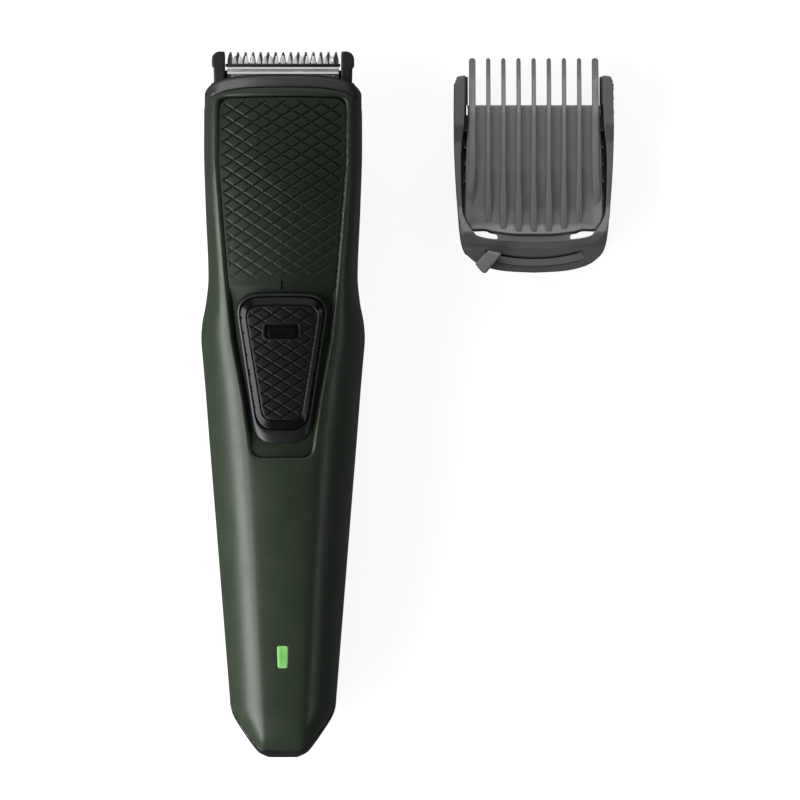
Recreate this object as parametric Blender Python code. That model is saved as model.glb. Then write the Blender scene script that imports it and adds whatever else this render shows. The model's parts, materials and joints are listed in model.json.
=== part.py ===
"""Beard trimmer on its back, with its length comb beside it.

+X is to the right, +Y runs along the handle towards the blades, +Z is up out of
the switch side. The origin is on the flat land under the handle. Sizes below are
in millimetres, and the mesh helpers turn them into metres.
"""
import bisect
import math

import bmesh
import bpy
from mathutils import Vector

MM = 0.001
GAP = 0.3          # between a piece and the neighbour it is cut by or rests on
SNUG = 0.1         # between close-fitting small pieces

# Handle: stations along Y, each with the value at that station
HALF_WIDTH = [(-66, 12.0), (-25.5, 15.2), (-9.3, 16.5), (4.2, 17.55), (10, 18.05),
              (15, 18.42), (17.7, 18.25), (23.1, 17.3), (28.5, 16.8), (44, 17.4),
              (58, 17.8), (76, 17.7)]
FRONT_HEIGHT = [(-66, 30.0), (-12, 35.2), (30, 35.2), (50, 33.8), (62, 31.2), (76, 27.0)]
BACK_HEIGHT = [(-66, 1.6), (-44, 0.0), (22, 0.0), (45, 1.6), (60, 5.0), (76, 9.6)]
RIDGE = [(-79, 4.2), (-55, 5.6), (-12, 8.0), (1, 9.4), (14.5, 11.8), (28, 13.4),
         (55, 15.3), (76, 15.5)]
SECTION_STATIONS = [-58, -46, -34, -25.5, -17, -9.3, -2, 4.2, 10, 15, 17.7, 20.4,
                    23.1, 28.5, 36, 44, 51, 58, 64, 70, 76]
PART_LINE = 15.5       # height of the seam between the two shells, and of the motor axis
CROWN = 0.012          # drop of the front face per millimetre of X squared
LAND = 5.0             # half-width of the flat land under the handle
FLANK_SLOPE = 0.5      # how fast the flank falls away at the ridge
TAIL_START = -66.0
TAIL_LENGTH = 13.5
TAIL_END = 0.977       # the tail is cut off flat at this share of its length
WALL = 1.8

# Outlines on the front of the handle
FRONT_TAIL = (11.9, 11.8, 1.75)    # half-width, length and power of the front shell's tail
RIM_LOW = (17.75, 65.4, 5.6)       # half-width, base and rise of the collar's lower edge
RIM_TOP = (18.2, 68.0, 6.0)        # the same for its top edge
SHIELD = [(14.7, 69.3), (14.75, 54.0), (12.6, 28.0), (11.1, 14.5), (8.6, 1.0), (6.7, -11.8)]
SHIELD_RADIUS = 2.7
PANEL_DEPTH = 0.7
PANEL_THICKNESS = 2.6
LAMP = [(1.2, -53.9), (1.05, -58.9)]

# Head: the collar's openings as (low corner, high corner)
COLLAR_INSET = 0.15
PLUG_INSET = 4.2
PLUG_REACH = (58, 72)
POCKET = ((-13.4, 66.0, 12.4), (13.4, 90, 21.6))
POCKET_MOUTH = ((-15.9, 70.7, 12.5), (15.9, 90, 21.5))
FORK_PASSAGE = ((-7.2, 50, 12.3), (7.2, 70, 20.2))

# Power switch
BEZEL = [(11.2, 24.9), (6.1, -8.5)]
SLIDER = [(10.1, 23.7), (5.5, -5.4)]
PAD = [(8.5, 21.9), (4.4, -3.5)]
PAD_WINDOW = [(4.05, 18.1), (4.05, 14.5)]
SWITCH_FACE = 35.2     # crown height of the front face around the switch
SWITCH_TRAVEL = 3.0
STEM_Y = 5.5           # the slider's stem reaches through a slot down to the switch
STEM_SLOT = 1.5        # half-width of that slot
BEZEL_LEVELS = (-1.8, -0.1)        # underside and top, measured from the crown
SLIDER_LEVELS = (0.2, 1.4)
PAD_LEVELS = (1.6, 2.3)

# Electronics
BOARD_BOTTOM = 20.0
BOARD_TOP = 21.2
BATTERY = (10.4, 7.0, -57.5, -8.0)      # height of its axis, radius, rear and front end
SCREW_Y = -63.5        # the screw that holds the shells together at the tail

# Drive
MOTOR_RADIUS = 9.5
MOTOR_REAR = 17.0
MOTOR_FRONT = 42.0
MOUNT = (42.3, 44.3)   # rear and front face of the plate that holds the motor
MOTOR_SCREWS = [("_left", -6.0), ("_right", 6.0)]
SHAFT_RADIUS = 1.0
CRANK_OFFSET = 1.2
CRANK_PIN_RADIUS = 1.0
CUTTER_TRAVEL = 1.1
FORK_SLOT = CRANK_OFFSET + CUTTER_TRAVEL + CRANK_PIN_RADIUS + 0.5

# Cutting unit
BLADE_HALF = 12.75
BLADE_TIP = 79.3
BLADE_TEETH = 15
CUTTER_TIP = 78.4
CUTTER_TEETH = 17
CUTTER_PITCH = 1.4
GUARD_INNER = 13.05
GUARD_HEIGHTS = (13.2, 19.6)
BLADE_Z = (15.95, 16.95)
CUTTER_Z = (17.05, 17.85)
FORK_Z = (17.95, 19.1)
FORK_HALF = 5.8
BLADE_SCREWS = [("_left", -10.7), ("_right", 10.7)]
BLADE_SCREW_Y = 70.3

# Comb
COMB_X = 56.5
COMB_OUTLINE = [(17.1, 74.1), (18.0, 71.2), (18.0, 59.5), (17.6, 50.0), (17.1, 43.2),
                (16.8, 39.5), (16.4, 36.2), (15.6, 34.2), (14.5, 32.7), (12.0, 31.0),
                (9.0, 30.2), (4.5, 29.7)]      # right side, from the arm's end down
COMB_INNER = 15.2
COMB_DEPTH = 14.0
BAND_BOTTOM = 11.0
BAND_TOP_EDGE = 37.2
PLATE_BOTTOM = 8.3
PLATE_TOP = 9.7
RIB_COUNT = 9
RIB_PITCH = 3.42
RIB_HALF = 0.54
OUTER_RIB_HALF = 0.75
OUTER_RIB_X = 13.88
RAIL = (13.9, 15.9)    # inner and outer side of the rail that slides in the arm's groove
SWING_Y = 71.66        # the lever swings about this centre
SLOT_RADIUS = 39.4
CAM_RADIUS = 36.0
SWING_HALF = 14.0      # degrees to each side
INSERT_TRAVEL = 4.0


# ---------------------------------------------------------------- curves

def smooth(stations, y):
    """Monotone cubic through the stations, level at each local extreme."""
    ys = [s[0] for s in stations]
    if y <= ys[0]:
        return stations[0][1]
    if y >= ys[-1]:
        return stations[-1][1]
    i = bisect.bisect_right(ys, y) - 1
    slopes = [(b[1] - a[1]) / (b[0] - a[0]) for a, b in zip(stations, stations[1:])]

    def tangent(k):
        if k == 0:
            return slopes[0]
        if k == len(slopes):
            return slopes[-1]
        before, after = slopes[k - 1], slopes[k]
        if before * after <= 0:
            return 0.0
        return 2 * before * after / (before + after)

    (y0, v0), (y1, v1) = stations[i], stations[i + 1]
    span = y1 - y0
    t = (y - y0) / span
    return ((2 * t ** 3 - 3 * t ** 2 + 1) * v0 + (t ** 3 - 2 * t ** 2 + t) * span * tangent(i)
            + (3 * t ** 2 - 2 * t ** 3) * v1 + (t ** 3 - t ** 2) * span * tangent(i + 1))


def bezier(p0, p1, p2, p3, steps):
    """Points along a cubic, without its first point."""
    out = []
    for i in range(1, steps + 1):
        t = i / steps
        weights = ((1 - t) ** 3, 3 * t * (1 - t) ** 2, 3 * t * t * (1 - t), t ** 3)
        out.append(tuple(sum(w * p[k] for w, p in zip(weights, (p0, p1, p2, p3)))
                         for k in (0, 1)))
    return out


def superellipse(share, power):
    """Height, from 1 to 0, of a rounded corner at a share of its width."""
    return max(0.0, 1 - min(1.0, abs(share)) ** power) ** (1 / power)


def rounded(corners, radius, steps=4):
    """Closed polygon with each corner replaced by an arc."""
    out = []
    count = len(corners)
    for i, corner in enumerate(corners):
        here = Vector(corner)
        to_last = Vector(corners[i - 1]) - here
        to_next = Vector(corners[(i + 1) % count]) - here
        half = to_last.angle(to_next) / 2
        reach = min(radius / math.tan(half), 0.45 * to_last.length, 0.45 * to_next.length)
        start = here + to_last.normalized() * reach
        end = here + to_next.normalized() * reach
        for k in range(steps + 1):
            t = k / steps
            out.append(tuple((1 - t) ** 2 * start + 2 * t * (1 - t) * here + t * t * end))
    return out


def mirrored(right, radius, grow=0.0, steps=4):
    """Outline symmetric about X = 0 from its right side, listed top to bottom."""
    side = [(x + grow, y) for x, y in right]
    side[0] = (side[0][0], right[0][1] + grow)
    side[-1] = (side[-1][0], right[-1][1] - grow)
    corners = side + [(-x, y) for x, y in reversed(side)]
    sharp = {0, len(side) - 1, len(side), len(corners) - 1}
    out = []
    arcs = rounded(corners, radius, steps)
    for i, corner in enumerate(corners):
        if i in sharp:
            out += arcs[i * (steps + 1):(i + 1) * (steps + 1)]
        else:
            out.append(corner)
    return out


def circle(x, y, radius, count=24):
    return [(x + radius * math.cos(2 * math.pi * i / count),
             y + radius * math.sin(2 * math.pi * i / count)) for i in range(count)]


# ---------------------------------------------------------------- meshes

def material(name, colour, roughness, metallic=0.0):
    mat = bpy.data.materials.new(name)
    mat.use_nodes = True
    shader = mat.node_tree.nodes["Principled BSDF"]
    shader.inputs["Base Color"].default_value = (*colour, 1.0)
    shader.inputs["Roughness"].default_value = roughness
    shader.inputs["Metallic"].default_value = metallic
    return mat


def add_object(name, bm, origin=(0, 0, 0)):
    """Object from a mesh in millimetres, with its origin at the given point."""
    bmesh.ops.recalc_face_normals(bm, faces=bm.faces)
    bmesh.ops.triangulate(bm, faces=bm.faces)
    for v in bm.verts:
        v.co = (v.co - Vector(origin)) * MM
    mesh = bpy.data.meshes.new(name)
    bm.to_mesh(mesh)
    bm.free()
    obj = bpy.data.objects.new(name, mesh)
    obj.location = Vector(origin) * MM
    bpy.context.scene.collection.objects.link(obj)
    return obj


def loft(name, rings, origin=(0, 0, 0)):
    """Closed solid through rings of equal length, capped at both ends."""
    bm = bmesh.new()
    rows = [[bm.verts.new(p) for p in ring] for ring in rings]
    for a, b in zip(rows, rows[1:]):
        for i in range(len(a)):
            j = (i + 1) % len(a)
            bm.faces.new((a[i], a[j], b[j], b[i]))
    bm.faces.new(rows[0])
    bm.faces.new(rows[-1])
    return add_object(name, bm, origin)


def prism(name, outline, low, high, axis="Z", origin=(0, 0, 0)):
    """Outline pushed along an axis. The outline's two numbers are the other two
    coordinates in X, Y, Z order."""
    place = {"X": lambda p, h: (h, p[0], p[1]),
             "Y": lambda p, h: (p[0], h, p[1]),
             "Z": lambda p, h: (p[0], p[1], h)}[axis]
    return loft(name, [[place(p, h) for p in outline] for h in (low, high)], origin)


def box(name, low, high, origin=(0, 0, 0)):
    outline = [(low[0], low[1]), (high[0], low[1]), (high[0], high[1]), (low[0], high[1])]
    return prism(name, outline, low[2], high[2], origin=origin)


def tube(name, points, radius, origin=(0, 0, 0)):
    """Round wire along a path, with filled ends."""
    curve = bpy.data.curves.new(name, "CURVE")
    curve.dimensions = "3D"
    curve.bevel_depth = radius * MM
    curve.bevel_resolution = 1
    curve.resolution_u = 4
    curve.use_fill_caps = True
    spline = curve.splines.new("BEZIER")
    spline.bezier_points.add(len(points) - 1)
    for handle, point in zip(spline.bezier_points, points):
        handle.co = (Vector(point) - Vector(origin)) * MM
        handle.handle_left_type = "AUTO"
        handle.handle_right_type = "AUTO"
    obj = bpy.data.objects.new(name, curve)
    obj.location = Vector(origin) * MM
    bpy.context.scene.collection.objects.link(obj)
    return obj


def combine(target, operation, *tools):
    """Boolean modifiers on the target, one for each tool. The tools become guides."""
    for tool in tools:
        modifier = target.modifiers.new(operation.lower(), "BOOLEAN")
        modifier.operation = operation
        modifier.solver = "EXACT"
        modifier.object = tool
        tool.hide_render = True
        tool.display_type = "WIRE"
    return target


def finish(obj, mat, smooth_angle=None):
    obj.data.materials.append(mat)
    if smooth_angle is not None:
        obj.data.shade_smooth()
        obj.data.set_sharp_from_angle(angle=math.radians(smooth_angle))
    return obj


# ---------------------------------------------------------------- handle body

def section(y, inset=0.0):
    """Ring round the handle at one station, from the middle of the front face."""
    tail = max(0.0, TAIL_START - y) / (TAIL_LENGTH - inset)
    narrow, flat = superellipse(tail, 1.85), superellipse(tail, 2.6)
    half = smooth(HALF_WIDTH, y) * narrow - inset * min(1.0, narrow * 2)
    front = PART_LINE + (smooth(FRONT_HEIGHT, y) - PART_LINE) * flat - inset
    back = PART_LINE + (smooth(BACK_HEIGHT, y) - PART_LINE) * flat + inset
    ridge = min(smooth(RIDGE, y) - 0.4 * inset, 0.7 * half)
    if y > TAIL_START:
        ridge = min(smooth(RIDGE, y) - 0.4 * inset, half - 1.2)
    land = min(LAND, 0.45 * half)
    shoulder = front - CROWN * ridge ** 2
    run = 0.55 * (half - ridge)
    right = [(ridge * k / 3, front - CROWN * (ridge * k / 3) ** 2) for k in (1, 2, 3)]
    right += bezier((ridge, shoulder), (ridge + run, shoulder - run * FLANK_SLOPE),
                    (half, PART_LINE + 0.55 * (shoulder - PART_LINE)), (half, PART_LINE), 6)
    right += bezier((half, PART_LINE), (half, PART_LINE - 0.55 * (PART_LINE - back)),
                    (land + 0.5 * (half - land), back), (land, back), 6)
    ring = [(0.0, front)] + right + [(-x, z) for x, z in reversed(right)]
    return [(x, y, z) for x, z in ring]


def body(name, inset=0.0, low=None, high=None):
    """The handle's solid shape, drawn in by an inset, between two stations."""
    length = TAIL_LENGTH - inset
    tail = [TAIL_START - length * share for share in (TAIL_END, 0.93, 0.83, 0.68, 0.48, 0.25, 0)]
    stations = tail + SECTION_STATIONS
    if low is not None:
        stations = [low] + [y for y in stations if y > low + 0.5]
    if high is not None:
        stations = [y for y in stations if y < high - 0.5] + [high]
    return loft(name, [section(y, inset) for y in stations])


def rise_outline(shape, far, steps=14, shift=0.0):
    """Region beyond a low arch across the handle: above it if far is positive."""
    half, base, rise = shape
    arch = []
    for i in range(2 * steps + 1):
        x = half * math.sin(math.pi / 2 * (i / steps - 1))
        arch.append((x, base + shift + rise * superellipse(x / half, 3)))
    return [(-30, base + shift)] + arch + [(30, base + shift), (30, far), (-30, far)]


def front_outline(grow=0.0, steps=10):
    """Plan of the front shell: open at the head, with a rounded tail."""
    half, length, power = FRONT_TAIL
    tail = []
    for i in range(2 * steps + 1):
        x = (half + grow) * math.sin(math.pi / 2 * (i / steps - 1))
        y = TAIL_START - (length + grow) * superellipse(x / (half + grow), power)
        tail.append((x, y))
    return [(-30, 90), (-30, TAIL_START)] + tail + [(30, TAIL_START), (30, 90)]


def shield_outline(grow=0.0):
    return mirrored(SHIELD, SHIELD_RADIUS + max(0.0, grow), grow)


def shell_wall(name):
    """The whole casing wall, before it is split."""
    wall = body(name)
    inside = body(name + "_inside", WALL, high=80)
    above = prism(name + "_above", rise_outline(RIM_LOW, 90, shift=-GAP), -10, 60)
    return combine(wall, "DIFFERENCE", inside, above)


def front_shell(mat):
    shell = shell_wall("front_shell")
    keep = prism("front_keep", front_outline(), PART_LINE + GAP / 2, 60)
    boss = prism("front_boss", circle(0, SCREW_Y, 3.0), PART_LINE + GAP, 29.5)
    opening = prism("front_opening", shield_outline(), 20, 60)
    lamp = prism("front_lamp_hole", lamp_outline(SNUG), 20, 60)
    pilot = prism("front_pilot", circle(0, SCREW_Y, 1.25), 10, 25.5)
    combine(shell, "INTERSECT", keep)
    combine(shell, "DIFFERENCE", opening, lamp)
    combine(shell, "UNION", boss)
    combine(shell, "DIFFERENCE", pilot)
    return finish(shell, mat, 30)


def rear_shell(mat):
    shell = shell_wall("rear_shell")
    front = prism("rear_front_cut", front_outline(GAP), PART_LINE - GAP / 2, 60)
    boss = prism("rear_boss", circle(0, SCREW_Y, 3.6), 2.0, PART_LINE - GAP)
    shank = prism("rear_shank_hole", circle(0, SCREW_Y, 1.4), -5, 20)
    head = prism("rear_head_hole", circle(0, SCREW_Y, 2.6), -5, 4.5)
    socket = prism("rear_socket_hole", circle(0, PART_LINE, 1.9), -90, -75, axis="Y")
    combine(shell, "DIFFERENCE", front)
    combine(shell, "UNION", boss)
    combine(shell, "DIFFERENCE", shank, head, socket)
    return finish(shell, mat, 30)


def shell_screw(mat):
    head = prism("shell_screw", circle(0, SCREW_Y, 2.3), 2.6, 4.2)
    shank = prism("shell_screw_shank", circle(0, SCREW_Y, 1.1, 16), 4.0, 24.5)
    slot = box("shell_screw_slot", (-2.0, SCREW_Y - 0.3, 2.0), (2.0, SCREW_Y + 0.3, 3.2))
    combine(head, "UNION", shank)
    combine(head, "DIFFERENCE", slot)
    return finish(head, mat, 30)


def head_rim(mat):
    """Collar that closes the head, with a plug inside the shells and a pocket."""
    rim = body("head_rim", COLLAR_INSET, low=64)
    keep_above = prism("rim_keep_above", rise_outline(RIM_LOW, 90), -10, 60)
    above_top = prism("rim_above_top", rise_outline(RIM_TOP, 100), -10, 60)
    plug = body("rim_plug", PLUG_INSET, low=PLUG_REACH[0], high=PLUG_REACH[1])
    pocket = box("rim_pocket", *POCKET)
    mouth = box("rim_mouth", *POCKET_MOUTH)
    passage = box("rim_passage", *FORK_PASSAGE)
    combine(rim, "INTERSECT", keep_above)
    combine(rim, "DIFFERENCE", above_top)
    combine(rim, "UNION", plug)
    combine(rim, "DIFFERENCE", pocket, mouth, passage)
    return finish(rim, mat, 30)


def front_panel(mat):
    """Recessed panel that fills the shield opening, with a seat for the switch."""
    panel = body("front_panel", PANEL_DEPTH, low=-16, high=73)
    behind = body("panel_behind", PANEL_DEPTH, low=-18, high=75)
    behind.location.z = -PANEL_THICKNESS * MM
    plan = prism("panel_plan", shield_outline(-GAP), 20, 60)
    seat = crowned("panel_seat", mirrored(BEZEL, 2.0, GAP), BEZEL_LEVELS[0] - GAP, 5.0)
    combine(panel, "INTERSECT", plan)
    combine(panel, "DIFFERENCE", behind, seat, stem_slot("panel_slot"))
    return finish(panel, mat, 30)


# ---------------------------------------------------------------- power switch

def crowned(name, outline, low, high, origin=(0, 0, 0)):
    """Plate whose two faces follow the crown of the front face."""
    columns = [-15, -10, -6.5, -3.5, 0, 3.5, 6.5, 10, 15]
    top = [(x, SWITCH_FACE + high - CROWN * x * x) for x in columns]
    under = [(x, SWITCH_FACE + low - CROWN * x * x) for x in reversed(columns)]
    plate = prism(name, top + under, -40, 60, axis="Y", origin=origin)
    plan = prism(name + "_plan", outline, 10, 60)
    return combine(plate, "INTERSECT", plan)


def stem_slot(name):
    """Room for the slider's stem over its whole travel."""
    return box(name, (-STEM_SLOT, STEM_Y - 2, 20), (STEM_SLOT, STEM_Y + SWITCH_TRAVEL + 2, 60))


def switch_bezel(mat):
    bezel = crowned("switch_bezel", mirrored(BEZEL, 2.0), *BEZEL_LEVELS)
    combine(bezel, "DIFFERENCE", stem_slot("bezel_slot"))
    return finish(bezel, mat, 30)


def switch_slider(mat, origin):
    slider = crowned("switch_slider", mirrored(SLIDER, 2.4), *SLIDER_LEVELS, origin)
    stem = box("slider_stem", (-0.9, STEM_Y - 1, 24.0), (0.9, STEM_Y + 1, 36.0))
    tab = box("slider_tab", (-3.2, 15.0, 35.8), (3.2, 17.0, 37.2))
    combine(slider, "UNION", stem, tab)
    return finish(slider, mat, 30)


def switch_pad(mat, origin):
    pad = crowned("switch_pad", mirrored(PAD, 1.8), *PAD_LEVELS, origin)
    window = prism("pad_window", mirrored(PAD_WINDOW, 1.2), 30, 60)
    combine(pad, "DIFFERENCE", window)
    return finish(pad, mat, 30)


def slide_switch(mat):
    case = box("slide_switch", (-3.2, 1.5, BOARD_TOP + GAP), (3.2, 11.6, 26.3))
    groove = box("slide_switch_groove", (-1.3, 2.8, 23.6), (1.3, 10.7, 30))
    return finish(combine(case, "DIFFERENCE", groove), mat)


# ---------------------------------------------------------------- lamp and electronics

def lamp_outline(grow=0.0):
    return mirrored(LAMP, 0.35, grow, 3)


def led_window(mat):
    pipe = body("led_window", 0.05, low=-64, high=-50)
    plan = prism("led_window_plan", lamp_outline(), 23.4, 60)
    return finish(combine(pipe, "INTERSECT", plan), mat, 30)


def circuit_board(mat):
    board = box("circuit_board", (-6.5, -59.5, BOARD_BOTTOM), (6.5, 11.8, BOARD_TOP))
    return finish(board, mat)


def on_board(name, mat, half, low, high, height):
    base = BOARD_TOP + GAP
    return finish(box(name, (-half, low, base), (half, high, base + height)), mat)


def battery_cell(mat):
    height, radius, rear, front = BATTERY
    return finish(prism("battery_cell", circle(0, height, radius, 32), rear, front, axis="Y"),
                  mat, 30)


def battery_tab(name, mat, start):
    height = BATTERY[0]
    return finish(box(name, (-5, start, height - 5.5), (5, start + 0.8, height + 5.5)), mat)


def charging_socket(mat):
    block = box("charging_socket", (-3.2, -75.2, PART_LINE - 3.4), (3.2, -67.6, PART_LINE + 3.4))
    bore = prism("socket_bore", circle(0, PART_LINE, 1.75), -80, -70, axis="Y")
    return finish(combine(block, "DIFFERENCE", bore), mat)


def socket_pin(mat):
    return finish(prism("socket_pin", circle(0, PART_LINE, 0.45, 16), -74.6, -70.1, axis="Y"),
                  mat, 30)


# ---------------------------------------------------------------- motor

def motor_can(mat):
    can = prism("motor_can", circle(0, PART_LINE, MOTOR_RADIUS, 32), MOTOR_REAR, MOTOR_FRONT,
                axis="Y")
    bore = prism("motor_bore", circle(0, PART_LINE, SHAFT_RADIUS + SNUG, 32), 20, 50, axis="Y")
    return finish(combine(can, "DIFFERENCE", bore), mat, 30)


def motor_end_cap(mat):
    cap = prism("motor_end_cap", circle(0, PART_LINE, MOTOR_RADIUS - 0.4, 32), MOTOR_REAR - 3,
                MOTOR_REAR - SNUG, axis="Y")
    return finish(cap, mat, 30)


def motor_bush(mat):
    bush = prism("motor_bush", circle(0, PART_LINE, 3.0), MOTOR_FRONT + SNUG, MOUNT[1] + 1.2,
                 axis="Y")
    bore = prism("bush_bore", circle(0, PART_LINE, SHAFT_RADIUS + SNUG, 32), 40, 50, axis="Y")
    return finish(combine(bush, "DIFFERENCE", bore), mat, 30)


def motor_mount(mat):
    """Plate across the casing that the motor is screwed to."""
    plate = body("motor_mount", WALL + GAP, low=MOUNT[0], high=MOUNT[1])
    over_panel = box("mount_over_panel", (-20, 40, 27.8), (20, 50, 40))
    boss = prism("mount_boss_hole", circle(0, PART_LINE, 3.0 + GAP), 40, 50, axis="Y")
    holes = [prism("mount_hole" + side, circle(x, PART_LINE, 1.3, 16), 40, 50, axis="Y")
             for side, x in MOTOR_SCREWS]
    combine(plate, "DIFFERENCE", over_panel, boss, *holes)
    return finish(plate, mat, 30)


def motor_screw(side, x, mat):
    """Machine screw through the mount, ending against the can's face."""
    head = prism("motor_screw" + side, circle(x, PART_LINE, 2.0), MOUNT[1] + SNUG,
                 MOUNT[1] + 1.3, axis="Y")
    shank = prism("motor_screw_shank" + side, circle(x, PART_LINE, 1.0, 16), MOTOR_FRONT + SNUG,
                  MOUNT[1] + 0.6, axis="Y")
    return finish(combine(head, "UNION", shank), mat, 30)


def motor_shaft(mat, origin):
    return finish(prism("motor_shaft", circle(0, PART_LINE, SHAFT_RADIUS, 24), 24, 54.5,
                        axis="Y", origin=origin), mat, 30)


def eccentric(mat, origin):
    """Hub on the shaft's end with a crank pin beside its axis."""
    hub = prism("eccentric", circle(0, PART_LINE, 3.2, 32), 52, 56.5, axis="Y", origin=origin)
    bore = prism("eccentric_bore", circle(0, PART_LINE, SHAFT_RADIUS + 0.05, 32), 50, 54.7,
                 axis="Y")
    pin = prism("eccentric_pin", circle(0, PART_LINE + CRANK_OFFSET, CRANK_PIN_RADIUS, 20),
                56, 65.4, axis="Y")
    combine(hub, "DIFFERENCE", bore)
    combine(hub, "UNION", pin)
    return finish(hub, mat, 30)


def motor_lead(side, x, mat):
    path = [(x, 5.5, BOARD_TOP + 0.9), (x, 10.8, BOARD_TOP + 1.4), (x, 13.1, BOARD_TOP - 0.6),
            (x, 13.1, BOARD_TOP - 4.5)]
    return finish(tube("motor_lead" + side, path, 0.45), mat)


# ---------------------------------------------------------------- cutting unit

def comb_of_teeth(half, tip, root, heel, count, sharp):
    """Plan of a toothed plate: teeth along +Y, a straight heel edge."""
    pitch = 2 * half / count
    points = [(-half, heel)]
    for i in range(count):
        left = -half + i * pitch
        points += [(left + 0.12 * pitch, root), (left + (0.5 - sharp) * pitch, tip),
                   (left + (0.5 + sharp) * pitch, tip), (left + 0.88 * pitch, root)]
    return points + [(half, heel)]


def blade_carrier(mat, origin):
    """Moulding that holds the blades, with a guard at each side."""
    base = box("blade_carrier", (-13.1, 66.3, 12.8), (13.1, 75.2, 15.7), origin)
    notch = box("carrier_notch", (-7.2, 60, 10), (7.2, 67.5, 20))
    combine(base, "DIFFERENCE", notch)
    for side in (-1, 1):
        plan = [(GUARD_INNER * side, 71.0), (15.5 * side, 71.0), (15.6 * side, 75.9),
                (16.0 * side, 76.1), (16.0 * side, 77.9), (15.5 * side, 78.9),
                (14.6 * side, BLADE_TIP), (GUARD_INNER * side, BLADE_TIP)]
        combine(base, "UNION", prism(f"carrier_guard{side}", plan, *GUARD_HEIGHTS))
    return finish(base, mat, 30)


def fixed_blade(mat, origin):
    plan = comb_of_teeth(BLADE_HALF, BLADE_TIP, 76.6, 68.0, BLADE_TEETH, 0.10)
    blade = prism("fixed_blade", plan, *BLADE_Z, origin=origin)
    holes = [prism("blade_hole" + side, circle(x, BLADE_SCREW_Y, 1.2, 16), 10, 20)
             for side, x in BLADE_SCREWS]
    return finish(combine(blade, "DIFFERENCE", *holes), mat)


def cutter_blade(mat, origin):
    half = CUTTER_TEETH * CUTTER_PITCH / 2 - 0.25
    plan = comb_of_teeth(half, CUTTER_TIP, 76.4, 73.2, CUTTER_TEETH, 0.16)
    blade = prism("cutter_blade", plan, *CUTTER_Z, origin=origin)
    heel = box("cutter_heel", (-7.5, 68.3, CUTTER_Z[0]), (7.5, 74.0, CUTTER_Z[1]))
    return finish(combine(blade, "UNION", heel), mat)


def blade_screw(side, x, mat, origin):
    head = prism("blade_screw" + side, circle(x, BLADE_SCREW_Y, 1.8), BLADE_Z[1] + SNUG,
                 BLADE_Z[1] + 1.1, origin=origin)
    shank = prism("blade_screw_shank" + side, circle(x, BLADE_SCREW_Y, 1.0, 16),
                  BLADE_Z[0] - 0.15, BLADE_Z[1] + 0.5)
    return finish(combine(head, "UNION", shank), mat, 30)


def cutter_fork(mat, origin):
    """Bracket on the cutter, with two prongs that straddle the crank pin."""
    bridge = box("cutter_fork", (-FORK_HALF, 62.6, FORK_Z[0]), (FORK_HALF, 73.4, FORK_Z[1]),
                 origin)
    for side in (-1, 1):
        inner, outer = sorted((FORK_SLOT * side, (FORK_SLOT + 1.6) * side))
        combine(bridge, "UNION", box(f"fork_prong{side}", (inner, 62.6, 13.0),
                                     (outer, 66.6, FORK_Z[1] - 0.4)))
    return finish(bridge, mat)


def blade_clip(mat, origin):
    """Polished strip across the cutter, with a bevel at each edge."""
    profile = [(74.25, 18.2), (75.75, 18.2), (75.75, 18.7), (75.2, 19.5), (74.75, 19.5),
               (74.25, 18.9)]
    return finish(prism("blade_clip", profile, -12.5, 12.5, axis="X", origin=origin), mat)


def blade_spring(mat, origin):
    path = [(-12.6, 68.2, 19.9), (-9.0, 71.0, 20.0), (0, 72.4, 19.9), (9.0, 71.0, 20.0),
            (12.6, 68.2, 19.9)]
    return finish(tube("blade_spring", path, 0.35, origin), mat)


# ---------------------------------------------------------------- comb

def at_comb(points):
    return [(COMB_X + x, y) for x, y in points]


def swing_point(radius, degrees):
    """Point on an arc about the lever's centre, 0 degrees straight down."""
    angle = math.radians(degrees)
    return (radius * math.sin(angle), SWING_Y - radius * math.cos(angle))


def arc_slot(radius, half_width, reach, steps=10):
    """Curved slot about the lever's centre, with round ends."""
    angles = [reach * (2 * i / steps - 1) for i in range(steps + 1)]
    outer = [swing_point(radius + half_width, a) for a in angles]
    inner = [swing_point(radius - half_width, a) for a in reversed(angles)]
    bulge = math.degrees(0.8 * half_width / radius)
    return outer + [swing_point(radius, reach + bulge)] + inner + [
        swing_point(radius, -reach - bulge)]


def cam_slot(half_width, steps=8, overrun=2.0):
    """Path of the lever's pin across the insert while the insert slides."""
    centres = []
    for i in range(steps + 1):
        degrees = (SWING_HALF + overrun) * (2 * i / steps - 1)
        x, y = swing_point(CAM_RADIUS, degrees)
        centres.append((x, y - INSERT_TRAVEL * (degrees + SWING_HALF) / (2 * SWING_HALF)))
    upper = [(x, y + half_width) for x, y in centres]
    lower = [(x, y - half_width) for x, y in reversed(centres)]
    return upper + lower


def comb_outline():
    """Plan of the comb's U-shaped frame."""
    return COMB_OUTLINE + [(-x, y) for x, y in reversed(COMB_OUTLINE)]


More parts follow.
